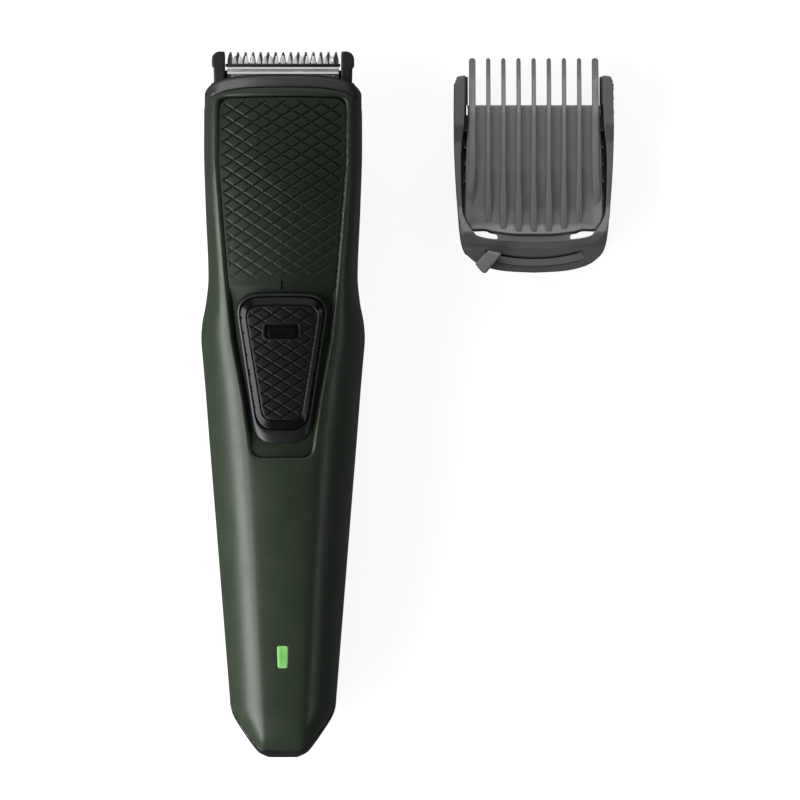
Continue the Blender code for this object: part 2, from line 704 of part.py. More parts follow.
def comb_frame(mat, origin):
    frame = prism("comb_frame", at_comb(comb_outline()), 0, COMB_DEPTH, origin=origin)
    hollow = box("comb_hollow", (COMB_X - COMB_INNER, 20, -5),
                 (COMB_X + COMB_INNER, 90, BAND_BOTTOM))
    mouth = box("comb_mouth", (COMB_X - COMB_INNER, BAND_TOP_EDGE, -5),
                (COMB_X + COMB_INNER, 90, 30))
    reach = RAIL[1] + GAP
    groove = box("comb_groove", (COMB_X - reach, 39.8, 4.7), (COMB_X + reach, 90, 6.8))
    slot = prism("comb_slot", at_comb(arc_slot(SLOT_RADIUS, 1.05, SWING_HALF + 2.0)), 5, 20)
    chamfer = prism("comb_chamfer", [(BAND_TOP_EDGE - 1.9, 14.6), (BAND_TOP_EDGE - 1.9, 14.05),
                                     (BAND_TOP_EDGE + 0.4, 12.0), (BAND_TOP_EDGE + 0.4, 14.6)],
                    COMB_X - COMB_INNER, COMB_X + COMB_INNER, axis="X")
    combine(frame, "DIFFERENCE", hollow, mouth, groove, slot, chamfer)
    return finish(frame, mat)


def insert_plate():
    """Plan of the insert: wide plate, narrow bridge, and a tongue under the band.
    The cam slot leaves the tongue joined on its right side."""
    right = [(14.4, 67.5), (14.4, 40.3), (7.8, 40.3), (7.8, 37.0)]
    tongue = [(12.3, 36.4), (12.3, 33.2), (10.6, 31.2), (8.5, 30.5), (-9.0, 30.8),
              (-11.2, 33.0), (-11.2, 36.2)]
    return right + tongue + [(-x, y) for x, y in reversed(right)]


def rib_places():
    """Offset from the comb's middle and half-width of each rib."""
    middle = (RIB_COUNT - 1) / 2
    inner = [((i - middle) * RIB_PITCH, RIB_HALF) for i in range(1, RIB_COUNT - 1)]
    return [(-OUTER_RIB_X, OUTER_RIB_HALF)] + inner + [(OUTER_RIB_X, OUTER_RIB_HALF)]


def comb_insert(mat, origin):
    plate = prism("comb_insert", at_comb(insert_plate()), PLATE_BOTTOM, PLATE_TOP,
                  origin=origin)
    profile = [(39.4, 9.0), (39.4, 10.6), (48.0, 11.4), (56.0, 12.7), (66.0, 12.2),
               (73.5, 9.8), (77.6, 6.6), (78.4, 5.7), (77.6, 5.3), (72.5, 7.2), (67.0, 8.8)]
    pieces = []
    for i, (offset, half) in enumerate(rib_places()):
        low, high = COMB_X + offset - half, COMB_X + offset + half
        pieces.append(prism(f"insert_rib{i}", profile, low, high, axis="X"))
    for side in (-1, 1):
        low, high = sorted((COMB_X + 13.3 * side, COMB_X + 14.35 * side))
        pieces.append(box(f"insert_wall{side}", (low, 40.4, 5.0), (high, 65.5, 8.6)))
        low, high = sorted(COMB_X + x * side for x in RAIL)
        pieces.append(box(f"insert_rail{side}", (low, 40.5, 5.0), (high, 65.4, 6.4)))
    combine(plate, "UNION", *pieces)
    cam = prism("insert_cam", at_comb(cam_slot(1.05)), 5, 20)
    combine(plate, "DIFFERENCE", cam)
    return finish(plate, mat)


def comb_lever(mat, origin):
    """Knob over the band, stem through its slot, shoe and cam pin underneath."""
    knob = prism("comb_lever", at_comb([(-10.2, 34.7), (-6.8, 34.1), (-9.4, 30.7), (-10.5, 29.6),
                                        (-11.1, 29.7), (-12.7, 31.9)]), 14.3, 17.4, origin=origin)
    stem_x, stem_y = swing_point(SLOT_RADIUS, -SWING_HALF)
    stem = prism("lever_stem", circle(COMB_X + stem_x, stem_y, 0.8, 16), 10.2, 15.0)
    shoe = prism("lever_shoe", at_comb([swing_point(35.0, -SWING_HALF - 2.5),
                                        swing_point(35.0, -SWING_HALF + 2.5),
                                        swing_point(40.8, -SWING_HALF + 2.2),
                                        swing_point(40.8, -SWING_HALF - 2.2)]), 10.0, 10.7)
    pin_x, pin_y = swing_point(CAM_RADIUS, -SWING_HALF)
    pin = prism("lever_pin", circle(COMB_X + pin_x, pin_y, 0.8, 16), 8.5, 10.3)
    combine(knob, "UNION", stem, shoe, pin)
    return finish(knob, mat)


# ---------------------------------------------------------------- whole object

def clear_scene():
    for obj in list(bpy.data.objects):
        bpy.data.objects.remove(obj, do_unlink=True)


def make_handle():
    black = material("black_plastic", (0.012, 0.012, 0.013), 0.42)
    steel = material("steel", (0.62, 0.62, 0.62), 0.25, 1.0)
    nickel = material("nickel", (0.70, 0.68, 0.62), 0.35, 1.0)
    front_shell(material("green_shell", (0.085, 0.12, 0.075), 0.38))
    rear_shell(black)
    head_rim(material("rim_plastic", (0.05, 0.05, 0.052), 0.35))
    front_panel(material("panel_plastic", (0.03, 0.045, 0.028), 0.45))
    switch_bezel(material("bezel_plastic", (0.025, 0.025, 0.028), 0.4))
    shell_screw(steel)
    led_window(material("lamp_window", (0.25, 0.8, 0.18), 0.2))
    on_board("charge_lamp", material("lamp", (0.75, 0.95, 0.7), 0.3), 1.2, -58.0, -54.8, 1.3)
    circuit_board(material("board", (0.02, 0.16, 0.06), 0.5))
    on_board("charge_chip", material("chip", (0.02, 0.02, 0.02), 0.5), 3.0, -42.0, -36.0, 1.5)
    slide_switch(material("switch_case", (0.55, 0.56, 0.58), 0.35, 0.8))
    battery_cell(material("battery_sleeve", (0.05, 0.16, 0.42), 0.4))
    battery_tab("battery_tab_rear", nickel, BATTERY[2] - 1.1)
    battery_tab("battery_tab_front", nickel, BATTERY[3] + 0.3)
    charging_socket(material("socket_plastic", (0.02, 0.02, 0.02), 0.5))
    socket_pin(nickel)
    motor_can(steel)
    motor_end_cap(material("motor_cap", (0.7, 0.7, 0.66), 0.5))
    motor_bush(material("brass", (0.75, 0.55, 0.22), 0.3, 1.0))
    motor_mount(material("mount_plastic", (0.10, 0.10, 0.11), 0.5))
    for side, x in MOTOR_SCREWS:
        motor_screw(side, x, steel)
        motor_lead(side, x * 0.88, material("lead" + side, (0.5, 0.02, 0.02), 0.45))


def make_moving_pieces():
    black = material("unit_plastic", (0.012, 0.012, 0.013), 0.45)
    steel = material("blade_steel", (0.66, 0.66, 0.67), 0.2, 1.0)
    switch_at = (0, STEM_Y, SWITCH_FACE)
    switch_slider(material("slider_gloss", (0.01, 0.01, 0.011), 0.12), switch_at)
    switch_pad(material("pad_rubber", (0.015, 0.015, 0.017), 0.6), switch_at)
    shaft_at = (0, MOTOR_FRONT, PART_LINE)
    motor_shaft(steel, shaft_at)
    eccentric(material("eccentric_plastic", (0.75, 0.75, 0.72), 0.4), shaft_at)
    unit_at = (0, 72, PART_LINE)
    blade_carrier(black, unit_at)
    fixed_blade(steel, unit_at)
    blade_clip(steel, unit_at)
    blade_spring(steel, unit_at)
    for side, x in BLADE_SCREWS:
        blade_screw(side, x, steel, unit_at)
    cutter_blade(steel, unit_at)
    cutter_fork(material("fork_plastic", (0.8, 0.8, 0.76), 0.4), unit_at)


def make_comb():
    grey = material("comb_frame_plastic", (0.09, 0.09, 0.09), 0.42)
    light = material("comb_insert_plastic", (0.13, 0.13, 0.13), 0.42)
    swing_at = (COMB_X, SWING_Y, COMB_DEPTH)
    comb_frame(grey, (COMB_X, 0, 0))
    comb_insert(light, (COMB_X, 0, 0))
    comb_lever(material("lever_plastic", (0.15, 0.15, 0.15), 0.4), swing_at)


clear_scene()
make_handle()
make_moving_pieces()
make_comb()
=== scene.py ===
"""Looks of the beard trimmer and its comb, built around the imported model.

Lengths inside this script are in millimetres, and the mesh helpers turn them into
metres. X is to the right, Y runs towards the blades, Z is up.
"""

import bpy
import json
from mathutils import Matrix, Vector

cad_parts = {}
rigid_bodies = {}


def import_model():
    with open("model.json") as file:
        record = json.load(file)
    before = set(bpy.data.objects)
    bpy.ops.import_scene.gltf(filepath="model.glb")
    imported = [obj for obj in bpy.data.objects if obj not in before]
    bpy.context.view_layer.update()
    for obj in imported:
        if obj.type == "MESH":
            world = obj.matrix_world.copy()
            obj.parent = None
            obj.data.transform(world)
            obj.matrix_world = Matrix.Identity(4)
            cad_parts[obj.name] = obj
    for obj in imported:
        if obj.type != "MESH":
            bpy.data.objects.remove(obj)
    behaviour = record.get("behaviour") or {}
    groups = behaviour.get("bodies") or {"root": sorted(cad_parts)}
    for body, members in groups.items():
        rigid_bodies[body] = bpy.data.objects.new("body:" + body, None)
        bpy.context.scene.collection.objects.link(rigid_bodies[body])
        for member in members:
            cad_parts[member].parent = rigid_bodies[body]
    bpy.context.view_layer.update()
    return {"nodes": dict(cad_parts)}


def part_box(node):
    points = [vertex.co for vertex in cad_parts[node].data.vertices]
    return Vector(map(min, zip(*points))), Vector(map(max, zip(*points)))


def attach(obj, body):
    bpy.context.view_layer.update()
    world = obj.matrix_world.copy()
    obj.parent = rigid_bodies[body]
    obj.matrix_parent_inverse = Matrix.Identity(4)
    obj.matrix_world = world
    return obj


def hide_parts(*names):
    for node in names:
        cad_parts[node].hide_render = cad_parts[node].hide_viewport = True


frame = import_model()

import bisect
import json
import math

import bmesh
import bpy
import numpy as np
from mathutils import Vector
from mathutils.geometry import delaunay_2d_cdt

MM = 0.001
TINY = 1e-12
SHARP_DEGREES = 50     # edges sharper than this stay sharp in the shading


def node_box(node):
    """Corners of a CAD node in millimetres."""
    low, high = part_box(node)
    return [c / MM for c in low], [c / MM for c in high]


# ---- the handle's shape

# (Y, value) along the handle
HALF_WIDTH = [(-66, 12.0), (-25.5, 15.2), (-9.3, 16.5), (4.2, 17.55), (10, 18.05),
              (15, 18.42), (17.7, 18.25), (23.1, 17.3), (28.5, 16.8), (44, 17.4),
              (58, 17.8), (76, 17.7)]
FRONT_HEIGHT = [(-66, 30.0), (-12, 35.2), (30, 35.2), (50, 33.8), (62, 31.2), (76, 27.0)]
BACK_HEIGHT = [(-66, 1.6), (-44, 0.0), (22, 0.0), (45, 1.6), (60, 5.0), (76, 9.6)]
RIDGE = [(-79, 4.2), (-55, 5.6), (-12, 8.0), (1, 9.4), (14.5, 11.8), (28, 13.4),
         (55, 15.3), (76, 15.5)]
PART_LINE = 15.5       # level of the seam between the shells
CROWN = 0.012          # how fast the front falls off with the square of X
LAND = 5.0             # half-width of the level middle of the back
FLANK_SLOPE = 0.5
PULL = 0.55            # share of its span that each handle of a curve reaches
TAIL_START = -66.0
TAIL_LENGTH = 13.5
TAIL_END = 0.977
TAIL_POWER = 2.6       # how square the tail and the collar's edges are
ARCH_POWER = 3
SEAM = 0.12            # half the visible gap between the two shells
TAIL_WIDTH = [(0.0, 1.0), (0.1, 0.993), (0.2, 0.972), (0.3, 0.93), (0.4, 0.868), (0.6, 0.72),
              (0.8, 0.56), (0.91, 0.45), (0.977, 0.3)]     # share of its length, of its width
GREEN_TAIL = [(12.3, -66.0), (11.5, -68.7), (10.2, -70.9), (8.5, -73.2), (6.7, -75.5),
              (5.2, -76.8), (3.6, -77.5), (0.0, -77.75)]
RIM_LOW = (17.75, 65.4, 5.6)     # half-width, start and rise of the collar's lower edge
RIM_TOP = (18.2, 68.0, 6.0)
# right sides of outlines as (X, Y), top to bottom
SHIELD = [(14.7, 68.9), (14.75, 54.0), (12.6, 28.0), (11.1, 14.5), (8.6, 1.0), (6.7, -11.8)]
SHIELD_RADIUS = 2.7
SHIELD_BOW = 0.3
BEZEL = [(11.2, 24.9), (6.1, -8.5)]
SLIDER = [(10.1, 23.7), (5.5, -5.4)]
PAD = [(8.5, 21.9), (4.4, -3.5)]
WINDOW = [(4.05, 18.1), (4.05, 14.5)]
LAMP = [(1.2, -53.9), (1.05, -58.9)]
SWITCH_FACE = 35.2
HALF_COUNT = 61        # points in each half of a section, and in the lines it is made of
CROWN_POINTS = 30
CURVE_POINTS = 60
LAND_POINTS = 12


def smooth(stations, y):
    """Monotone cubic through the stations, level at each local extreme."""
    ys = [s[0] for s in stations]
    if y <= ys[0]:
        return stations[0][1]
    if y >= ys[-1]:
        return stations[-1][1]
    i = bisect.bisect_right(ys, y) - 1
    slopes = [(b[1] - a[1]) / (b[0] - a[0]) for a, b in zip(stations, stations[1:])]

    def tangent(k):
        if k == 0 or k == len(slopes):
            return slopes[min(k, len(slopes) - 1)]
        before, after = slopes[k - 1], slopes[k]
        return 0.0 if before * after <= 0 else 2 * before * after / (before + after)

    (y0, v0), (y1, v1) = stations[i], stations[i + 1]
    span = y1 - y0
    t = (y - y0) / span
    return ((2 * t ** 3 - 3 * t ** 2 + 1) * v0 + (t ** 3 - 2 * t ** 2 + t) * span * tangent(i)
            + (3 * t ** 2 - 2 * t ** 3) * v1 + (t ** 3 - t ** 2) * span * tangent(i + 1))


def ramp(distance, length):
    """Rises from 0 to 1 over a length."""
    return np.clip(distance / length, 0, 1)


def superellipse(share, power):
    """Falls from 1 in the middle to 0 at the end of a rounded outline."""
    return max(0.0, 1 - min(1.0, abs(share)) ** power) ** (1 / power)


def arch(shape, x):
    """Height along Y of one edge of the collar at X."""
    half, base, rise = shape
    return base + rise * superellipse(x / half, ARCH_POWER)


def cubic(p0, p1, p2, p3, count):
    """Points of a Bezier curve."""
    t = np.linspace(0, 1, count)[:, None]
    p0, p1, p2, p3 = (np.array(p, float) for p in (p0, p1, p2, p3))
    return (1 - t) ** 3 * p0 + 3 * t * (1 - t) ** 2 * p1 + 3 * t * t * (1 - t) * p2 + t ** 3 * p3


def even(points, count):
    """The same line with points an even distance apart."""
    steps = np.linalg.norm(np.diff(points, axis=0), axis=1)
    along = np.concatenate([[0], np.cumsum(steps)])
    want = np.linspace(0, along[-1], count)
    return np.stack([np.interp(want, along, points[:, k]) for k in (0, 1)], axis=1)


def soften(points, rounds):
    """Rounds off creases, with both ends kept."""
    for _ in range(rounds):
        points[1:-1] = 0.25 * points[:-2] + 0.5 * points[1:-1] + 0.25 * points[2:]
    return points


def half_section(u):
    """(x, z) from the middle of the front, over the flank, to the middle of the back.
    u is Y along the handle, and an angle-like length round the tail."""
    y, tail = along(u)
    narrow, flat = smooth(TAIL_WIDTH, tail), superellipse(tail, TAIL_POWER)
    half = smooth(HALF_WIDTH, y) * narrow
    front = PART_LINE + (smooth(FRONT_HEIGHT, y) - PART_LINE) * flat
    back = PART_LINE + (smooth(BACK_HEIGHT, y) - PART_LINE) * flat
    ridge = min(smooth(RIDGE, y), 0.7 * half if tail else half - 1.2)
    land = min(LAND, 0.45 * half)
    shoulder = front - CROWN * ridge ** 2
    run = PULL * (half - ridge)
    across = np.linspace(0, ridge, CROWN_POINTS)
    crown = np.stack([across, front - CROWN * across ** 2], axis=1)
    flank = cubic((ridge, shoulder), (ridge + run, shoulder - run * FLANK_SLOPE),
                  (half, PART_LINE + PULL * (shoulder - PART_LINE)), (half, PART_LINE), CURVE_POINTS)
    upper = soften(even(np.concatenate([crown, flank[1:]]), HALF_COUNT), 8)
    belly = cubic((half, PART_LINE), (half, PART_LINE - PULL * (PART_LINE - back)),
                  (land + 0.5 * (half - land), back), (land, back), CURVE_POINTS)
    under = np.array([(x, back) for x in np.linspace(land, 0, LAND_POINTS)[1:]])
    lower = soften(even(np.concatenate([belly, under]), HALF_COUNT), 4)
    return np.concatenate([upper, lower[1:]])


TAIL_ARC = math.asin(TAIL_END)
U_END = TAIL_START - TAIL_LENGTH * TAIL_ARC
U_TOP = 76.0


def along(u):
    """(y, share of the tail) at a length along the handle."""
    if u >= TAIL_START:
        return u, 0.0
    share = math.sin((TAIL_START - u) / TAIL_LENGTH)
    return TAIL_START - TAIL_LENGTH * share, share


def u_of(y):
    """Length along the handle at a Y."""
    if y >= TAIL_START:
        return y
    return TAIL_START - TAIL_LENGTH * math.asin(min(TAIL_END, (TAIL_START - y) / TAIL_LENGTH))


GRID_U = np.linspace(U_END, U_TOP, 400)
GRID = np.array([half_section(u) for u in GRID_U])
GRID_Y = np.array([along(u)[0] for u in GRID_U])
GRID_Q = np.linspace(0, 2, 2 * HALF_COUNT - 1)


def cubic_weights(t):
    """Weights of four neighbours in a Catmull-Rom curve."""
    return np.stack([-0.5 * t + t ** 2 - 0.5 * t ** 3, 1 - 2.5 * t ** 2 + 1.5 * t ** 3,
                     0.5 * t + 2 * t ** 2 - 1.5 * t ** 3, -0.5 * t ** 2 + 0.5 * t ** 3])


def on_handle(q, u):
    """Points on the handle. |q| runs from 0 at the front, 1 at the seam, to 2 at the back."""
    q, u = np.asarray(q, float), np.asarray(u, float)
    row = (u - U_END) / (GRID_U[1] - GRID_U[0])
    column = np.abs(q) / (GRID_Q[1] - GRID_Q[0])
    i = np.clip(row.astype(int), 0, len(GRID_U) - 2)
    j = np.clip(column.astype(int), 0, len(GRID_Q) - 2)
    wi, wj = cubic_weights(row - i), cubic_weights(column - j)
    rows = [np.clip(i + k, 0, len(GRID_U) - 1) for k in (-1, 0, 1, 2)]
    out = np.zeros((len(q), 3))
    for a in range(4):
        ys = GRID_Y[rows[a]]
        out[:, 1] += wi[a] * ys
        for b in range(4):
            col = j + b - 1
            flip = np.where((col < 0) | (col > len(GRID_Q) - 1), -1.0, 1.0)
            col = np.abs(col)
            col = np.where(col > len(GRID_Q) - 1, 2 * (len(GRID_Q) - 1) - col, col)
            p = GRID[rows[a], col]
            out[:, 0] += wi[a] * wj[b] * p[:, 0] * flip
            out[:, 2] += wi[a] * wj[b] * p[:, 1]
    out[:, 0] *= np.where(q < 0, -1.0, 1.0)
    return out


def q_of(x, u, back=False):
    """Where across a section a given X lies, counted from the middle of its front, or of
    its back."""
    row = int(np.clip(round((u - U_END) / (GRID_U[1] - GRID_U[0])), 0, len(GRID_U) - 1))
    xs = GRID[row, :HALF_COUNT, 0] if not back else GRID[row, HALF_COUNT - 1:, 0][::-1]
    return math.copysign(float(np.interp(abs(x), xs, GRID_Q[:HALF_COUNT])), x)


def front_height(x, y):
    """Height of the front face at (x, y), for arrays."""
    x, y = np.asarray(x, float), np.asarray(y, float)
    out = np.zeros(len(x))
    for k, (a, b) in enumerate(zip(x, y)):
        row = (u_of(b) - U_END) / (GRID_U[1] - GRID_U[0])
        i = int(np.clip(row, 0, len(GRID_U) - 2))
        t = row - i
        z = [np.interp(abs(a), GRID[i + s, :HALF_COUNT, 0], GRID[i + s, :HALF_COUNT, 1])
             for s in (0, 1)]
        out[k] = (1 - t) * z[0] + t * z[1]
    return out


# ---- outlines

def rounded(corners, radius, steps=6):
    """Closed polygon with each corner replaced by an arc."""
    out = []
    count = len(corners)
    for i, corner in enumerate(corners):
        here = Vector(corner)
        to_last = Vector(corners[i - 1]) - here
        to_next = Vector(corners[(i + 1) % count]) - here
        half = to_last.angle(to_next) / 2
        reach = min(radius / math.tan(half), 0.45 * to_last.length, 0.45 * to_next.length)
        start = here + to_last.normalized() * reach
        end = here + to_next.normalized() * reach
        for k in range(steps + 1):
            t = k / steps
            out.append(tuple((1 - t) ** 2 * start + 2 * t * (1 - t) * here + t * t * end))
    return out


def mirrored(right, radius, grow=0.0, steps=8):
    """Outline symmetric about X = 0 from its right side, listed top to bottom."""
    side = [(x + grow, y) for x, y in right]
    side[0] = (side[0][0], right[0][1] + grow)
    side[-1] = (side[-1][0], right[-1][1] - grow)
    return rounded(side + [(-x, y) for x, y in reversed(side)], radius, steps)


END_REACH = 3.0        # length of the ends that bowed() bends


def bowed(loop, top, low):
    """Closed outline with the middle of its top and bottom edges pushed outward."""
    points = np.array(spaced(loop, 0.4))
    high, deep = points[:, 1].max(), points[:, 1].min()
    middle = 1 - (points[:, 0] / np.abs(points[:, 0]).max()) ** 2
    points[:, 1] += top * middle * ramp(points[:, 1] - high + END_REACH, END_REACH)
    points[:, 1] -= low * middle * ramp(deep + END_REACH - points[:, 1], END_REACH)
    return [tuple(p) for p in points]


def circle(x, y, radius, count=32):
    turns = [2 * math.pi * i / count for i in range(count)]
    return [(x + radius * math.cos(t), y + radius * math.sin(t)) for t in turns]


def flowing(points, steps=4):
    """Smooth open line through the points."""
    p = [np.array(q, float) for q in [points[0]] + list(points) + [points[-1]]]
    out = []
    for i in range(1, len(p) - 2):
        for k in range(steps):
            t = k / steps
            weights = cubic_weights(t)
            out.append(tuple(sum(weights[j] * p[i - 1 + j] for j in range(4))))
    return out + [tuple(points[-1])]


def inset(loop, distances):
    """Closed outline drawn in by a distance, which may differ from point to point."""
    p = np.array(loop, float)
    step = np.roll(p, -1, axis=0) - np.roll(p, 1, axis=0)
    normal = np.stack([step[:, 1], -step[:, 0]], axis=1)
    normal /= np.linalg.norm(normal, axis=1)[:, None]
    last = np.roll(p, 1, axis=0)
    area = (last[:, 0] * p[:, 1] - p[:, 0] * last[:, 1]).sum()
    amount = np.broadcast_to(distances, len(p))[:, None]
    return [tuple(q) for q in p - normal * amount * math.copysign(1, area)]


def spaced(loop, gap):
    """Closed outline with points about gap apart, its corners kept."""
    out = []
    for a, b in zip(loop, loop[1:] + loop[:1]):
        a, b = np.array(a, float), np.array(b, float)
        length = np.linalg.norm(b - a)
        if length < 1e-6:
            continue
        count = max(1, int(round(length / gap)))
        out += [tuple(a + (b - a) * k / count) for k in range(count)]
    return out


def inside(points, loop):
    """Which points lie inside a closed outline."""
    x, y = points[:, 0], points[:, 1]
    loop = np.array(loop)
    within = np.zeros(len(points), bool)
    for (x0, y0), (x1, y1) in zip(loop, np.roll(loop, -1, axis=0)):
        crosses = (y0 > y) != (y1 > y)
        if y1 != y0:
            within ^= crosses & (x < (x1 - x0) * (y - y0) / (y1 - y0) + x0)
    return within


def distance_to(points, loop):
    """Distance from each point to a closed outline."""
    loop = np.array(loop)
    best = np.full(len(points), 1e9)
    for a, b in zip(loop, np.roll(loop, -1, axis=0)):
        d = b - a
        size = d @ d
        if size < 1e-12:
            continue
        t = np.clip(((points - a) @ d) / size, 0, 1)
        best = np.minimum(best, np.linalg.norm(points - a - t[:, None] * d, axis=1))
    return best


# ---- meshes

def staggered(loop, gap):
    """Rows of points over an outline's box, near the corners of even triangles."""
    low, high = np.min(loop, axis=0), np.max(loop, axis=0)
    xs = np.arange(low[0], high[0], gap)
    ys = np.arange(low[1], high[1], gap * 0.87)
    return np.array([(x + (gap / 2 if k % 2 else 0), y) for k, y in enumerate(ys) for x in xs])


def between(points, loops):
    """Which points lie inside the first outline and outside the others."""
    within = inside(points, loops[0])
    for hole in loops[1:]:
        within &= ~inside(points, hole)
    return within


def flat_patch(outer, holes=(), gap=0.8, extra=None, creases=()):
    """Triangles that fill an outline round its holes: (2D points, triangles).
    extra replaces the points inside, and creases are lines that triangles don't cross."""
    loops = [spaced(list(loop), gap) for loop in (outer, *holes)]
    if extra is None:
        extra = staggered(loops[0], gap)
    extra = extra[between(extra, loops)]
    for loop in loops:
        extra = extra[distance_to(extra, loop) > 0.45 * gap]
    points, edges = [], []
    for loop in loops:
        start = len(points)
        points += loop
        edges += [(start + i, start + (i + 1) % len(loop)) for i in range(len(loop))]
    for line in creases:
        extra = extra[distance_to(extra, list(line) + list(line[::-1])) > 0.3 * gap]
        edges += [(len(points) + i, len(points) + i + 1) for i in range(len(line) - 1)]
        points += list(line)
    points += [tuple(p) for p in extra]
    verts, _, faces, _, _, _ = delaunay_2d_cdt([Vector(p) for p in points], edges, [], 0, 1e-7)
    verts = np.array([tuple(v) for v in verts])
    faces = np.array([list(f) for f in faces])
    return verts, faces[between(verts[faces].mean(axis=1), loops)]


def add_piece(node, solid, look, body):
    """Adds a smooth-shaded solid, its points in millimetres, in the place of a CAD node."""
    verts, faces = solid
    bm = bmesh.new()
    made = [bm.verts.new([c * MM for c in v]) for v in verts]
    for face in faces:
        if len(set(face)) > 2:
            try:
                bm.faces.new([made[i] for i in face])
            except ValueError:
                pass           # this face is there already
    bmesh.ops.remove_doubles(bm, verts=bm.verts, dist=1e-7)
    loose = [v for v in bm.verts if not v.link_faces]
    bmesh.ops.delete(bm, geom=loose, context="VERTS")
    bmesh.ops.recalc_face_normals(bm, faces=bm.faces)
    name = node + "_skin"
    mesh = bpy.data.meshes.new(name)
    bm.to_mesh(mesh)
    bm.free()
    mesh.shade_smooth()
    mesh.set_sharp_from_angle(angle=math.radians(SHARP_DEGREES))
    mesh.materials.append(MAT[look])
    obj = bpy.data.objects.new(name, mesh)
    bpy.context.scene.collection.objects.link(obj)
    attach(obj, body)
    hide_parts(node)


def unit(vector):
    return vector / max(np.linalg.norm(vector), TINY)


def vertex_normals(surface, faces):
    p = surface[faces]
    face_normals = np.cross(p[:, 1] - p[:, 0], p[:, 2] - p[:, 0])
    normals = np.zeros_like(surface)
    for k in range(3):
        np.add.at(normals, faces[:, k], face_normals)
    return normals / np.maximum(np.linalg.norm(normals, axis=1), TINY)[:, None]


def patch_rim(surface, faces, normals):
    """Open edges of a patch, and at each of their points the direction out of the patch."""
    sides = dict.fromkeys((f[k], f[(k + 1) % 3]) for f in faces for k in range(3))
    rim = [(a, b) for a, b in sides if (b, a) not in sides]
    outward = {}
    for a, b in rim:
        for v in (a, b):
            outward[v] = outward.get(v, 0) + unit(np.cross(surface[b] - surface[a], normals[v]))
    return rim, {v: unit(out) for v, out in outward.items()}


def thick_patch(surface, faces, radius, depth, steps=4, bottom=None):
    """Closed solid under a patch: rounded edges, walls and an inner skin.
    surface is an array of 3D points, and radius may have a value for each of them.
    bottom(x, y) gives a level underside instead of an even thickness."""
    faces = np.array(faces)
    radii = np.broadcast_to(radius, len(surface))
    normals = vertex_normals(surface, faces)
    rim, outward = patch_rim(surface, faces, normals)

    def underside(point, normal):
        if bottom is None:
            return tuple(point - normal * depth)
        return (point[0], point[1], bottom(point[0], point[1]))

    verts = [tuple(v) for v in surface]
    rings = {}
    for v, out in outward.items():
        rings[v] = [v] + [len(verts) + k for k in range(steps + 1)]
        for k in range(1, steps + 1):
            angle = math.pi / 2 * k / steps
            shift = out * math.sin(angle) - normals[v] * (1 - math.cos(angle))
            verts.append(tuple(surface[v] + radii[v] * shift))
        verts.append(underside(surface[v] + out * radii[v], normals[v]))
    under = len(verts)
    verts += [underside(point, normal) for point, normal in zip(surface, normals)]
    out_faces = [tuple(f) for f in faces]
    for a, b in rim:
        column_a, column_b = rings[a] + [under + a], rings[b] + [under + b]
        for k in range(len(column_a) - 1):
            out_faces.append((column_b[k], column_a[k], column_a[k + 1], column_b[k + 1]))
    out_faces += [(under + f[2], under + f[1], under + f[0]) for f in faces]
    return verts, out_faces


def joined(parts):
    """Several (verts, faces) as one."""
    verts, faces = [], []
    for more_verts, more_faces in parts:
        start = len(verts)
        verts += [tuple(v) for v in more_verts]
        faces += [tuple(i + start for i in f) for f in more_faces]
    return verts, faces


def lofted(rings, torus=False):
    """Closed solid through rings of 3D points: capped, or joined back to its start."""
    size, count = len(rings[0]), len(rings)
    verts = [tuple(p) for ring in rings for p in ring]
    faces = []
    for r in range(count if torus else count - 1):
        this, following = r * size, (r + 1) % count * size
        for i in range(size):
            j = (i + 1) % size
            faces.append((this + i, this + j, following + j, following + i))
    if not torus:
        faces.append(tuple(reversed(range(size))))
        faces.append(tuple(range((len(rings) - 1) * size, len(rings) * size)))
    return verts, faces


def soft_box(low, high, radius, steps=3):
    """Box with rounded upright edges and rounded top and bottom edges."""
    rings = []
    for k in range(steps + 1):
        a = math.pi / 2 * k / steps
        rings.append((radius * (1 - math.sin(a)), low[2] + radius * (1 - math.cos(a))))
    levels = rings + [(inset, low[2] + high[2] - z) for inset, z in reversed(rings)]
    loops = []
    for inset, z in levels:
        plan = [(low[0] + inset, low[1] + inset), (high[0] - inset, low[1] + inset),
                (high[0] - inset, high[1] - inset), (low[0] + inset, high[1] - inset)]
        loops.append([(x, y, z) for x, y in rounded(plan, radius, steps)])
    return lofted(loops)


def turned(profile, centre, count=32):
    """Ring turned round an upright axis from a closed profile of (radius, z)."""
    rings = [[(x, y, z) for x, y in circle(*centre, radius, count)] for radius, z in profile]
    return lofted(rings, torus=True)


def plate(outline, low, high, radius, holes=(), gap=0.6):
    """Flat solid with rounded top edges."""
    verts, faces = flat_patch(outline, holes, gap)
    surface = np.column_stack([verts, np.full(len(verts), high)])
    return thick_patch(surface, faces, radius, high - low, steps=3)


# ---- materials

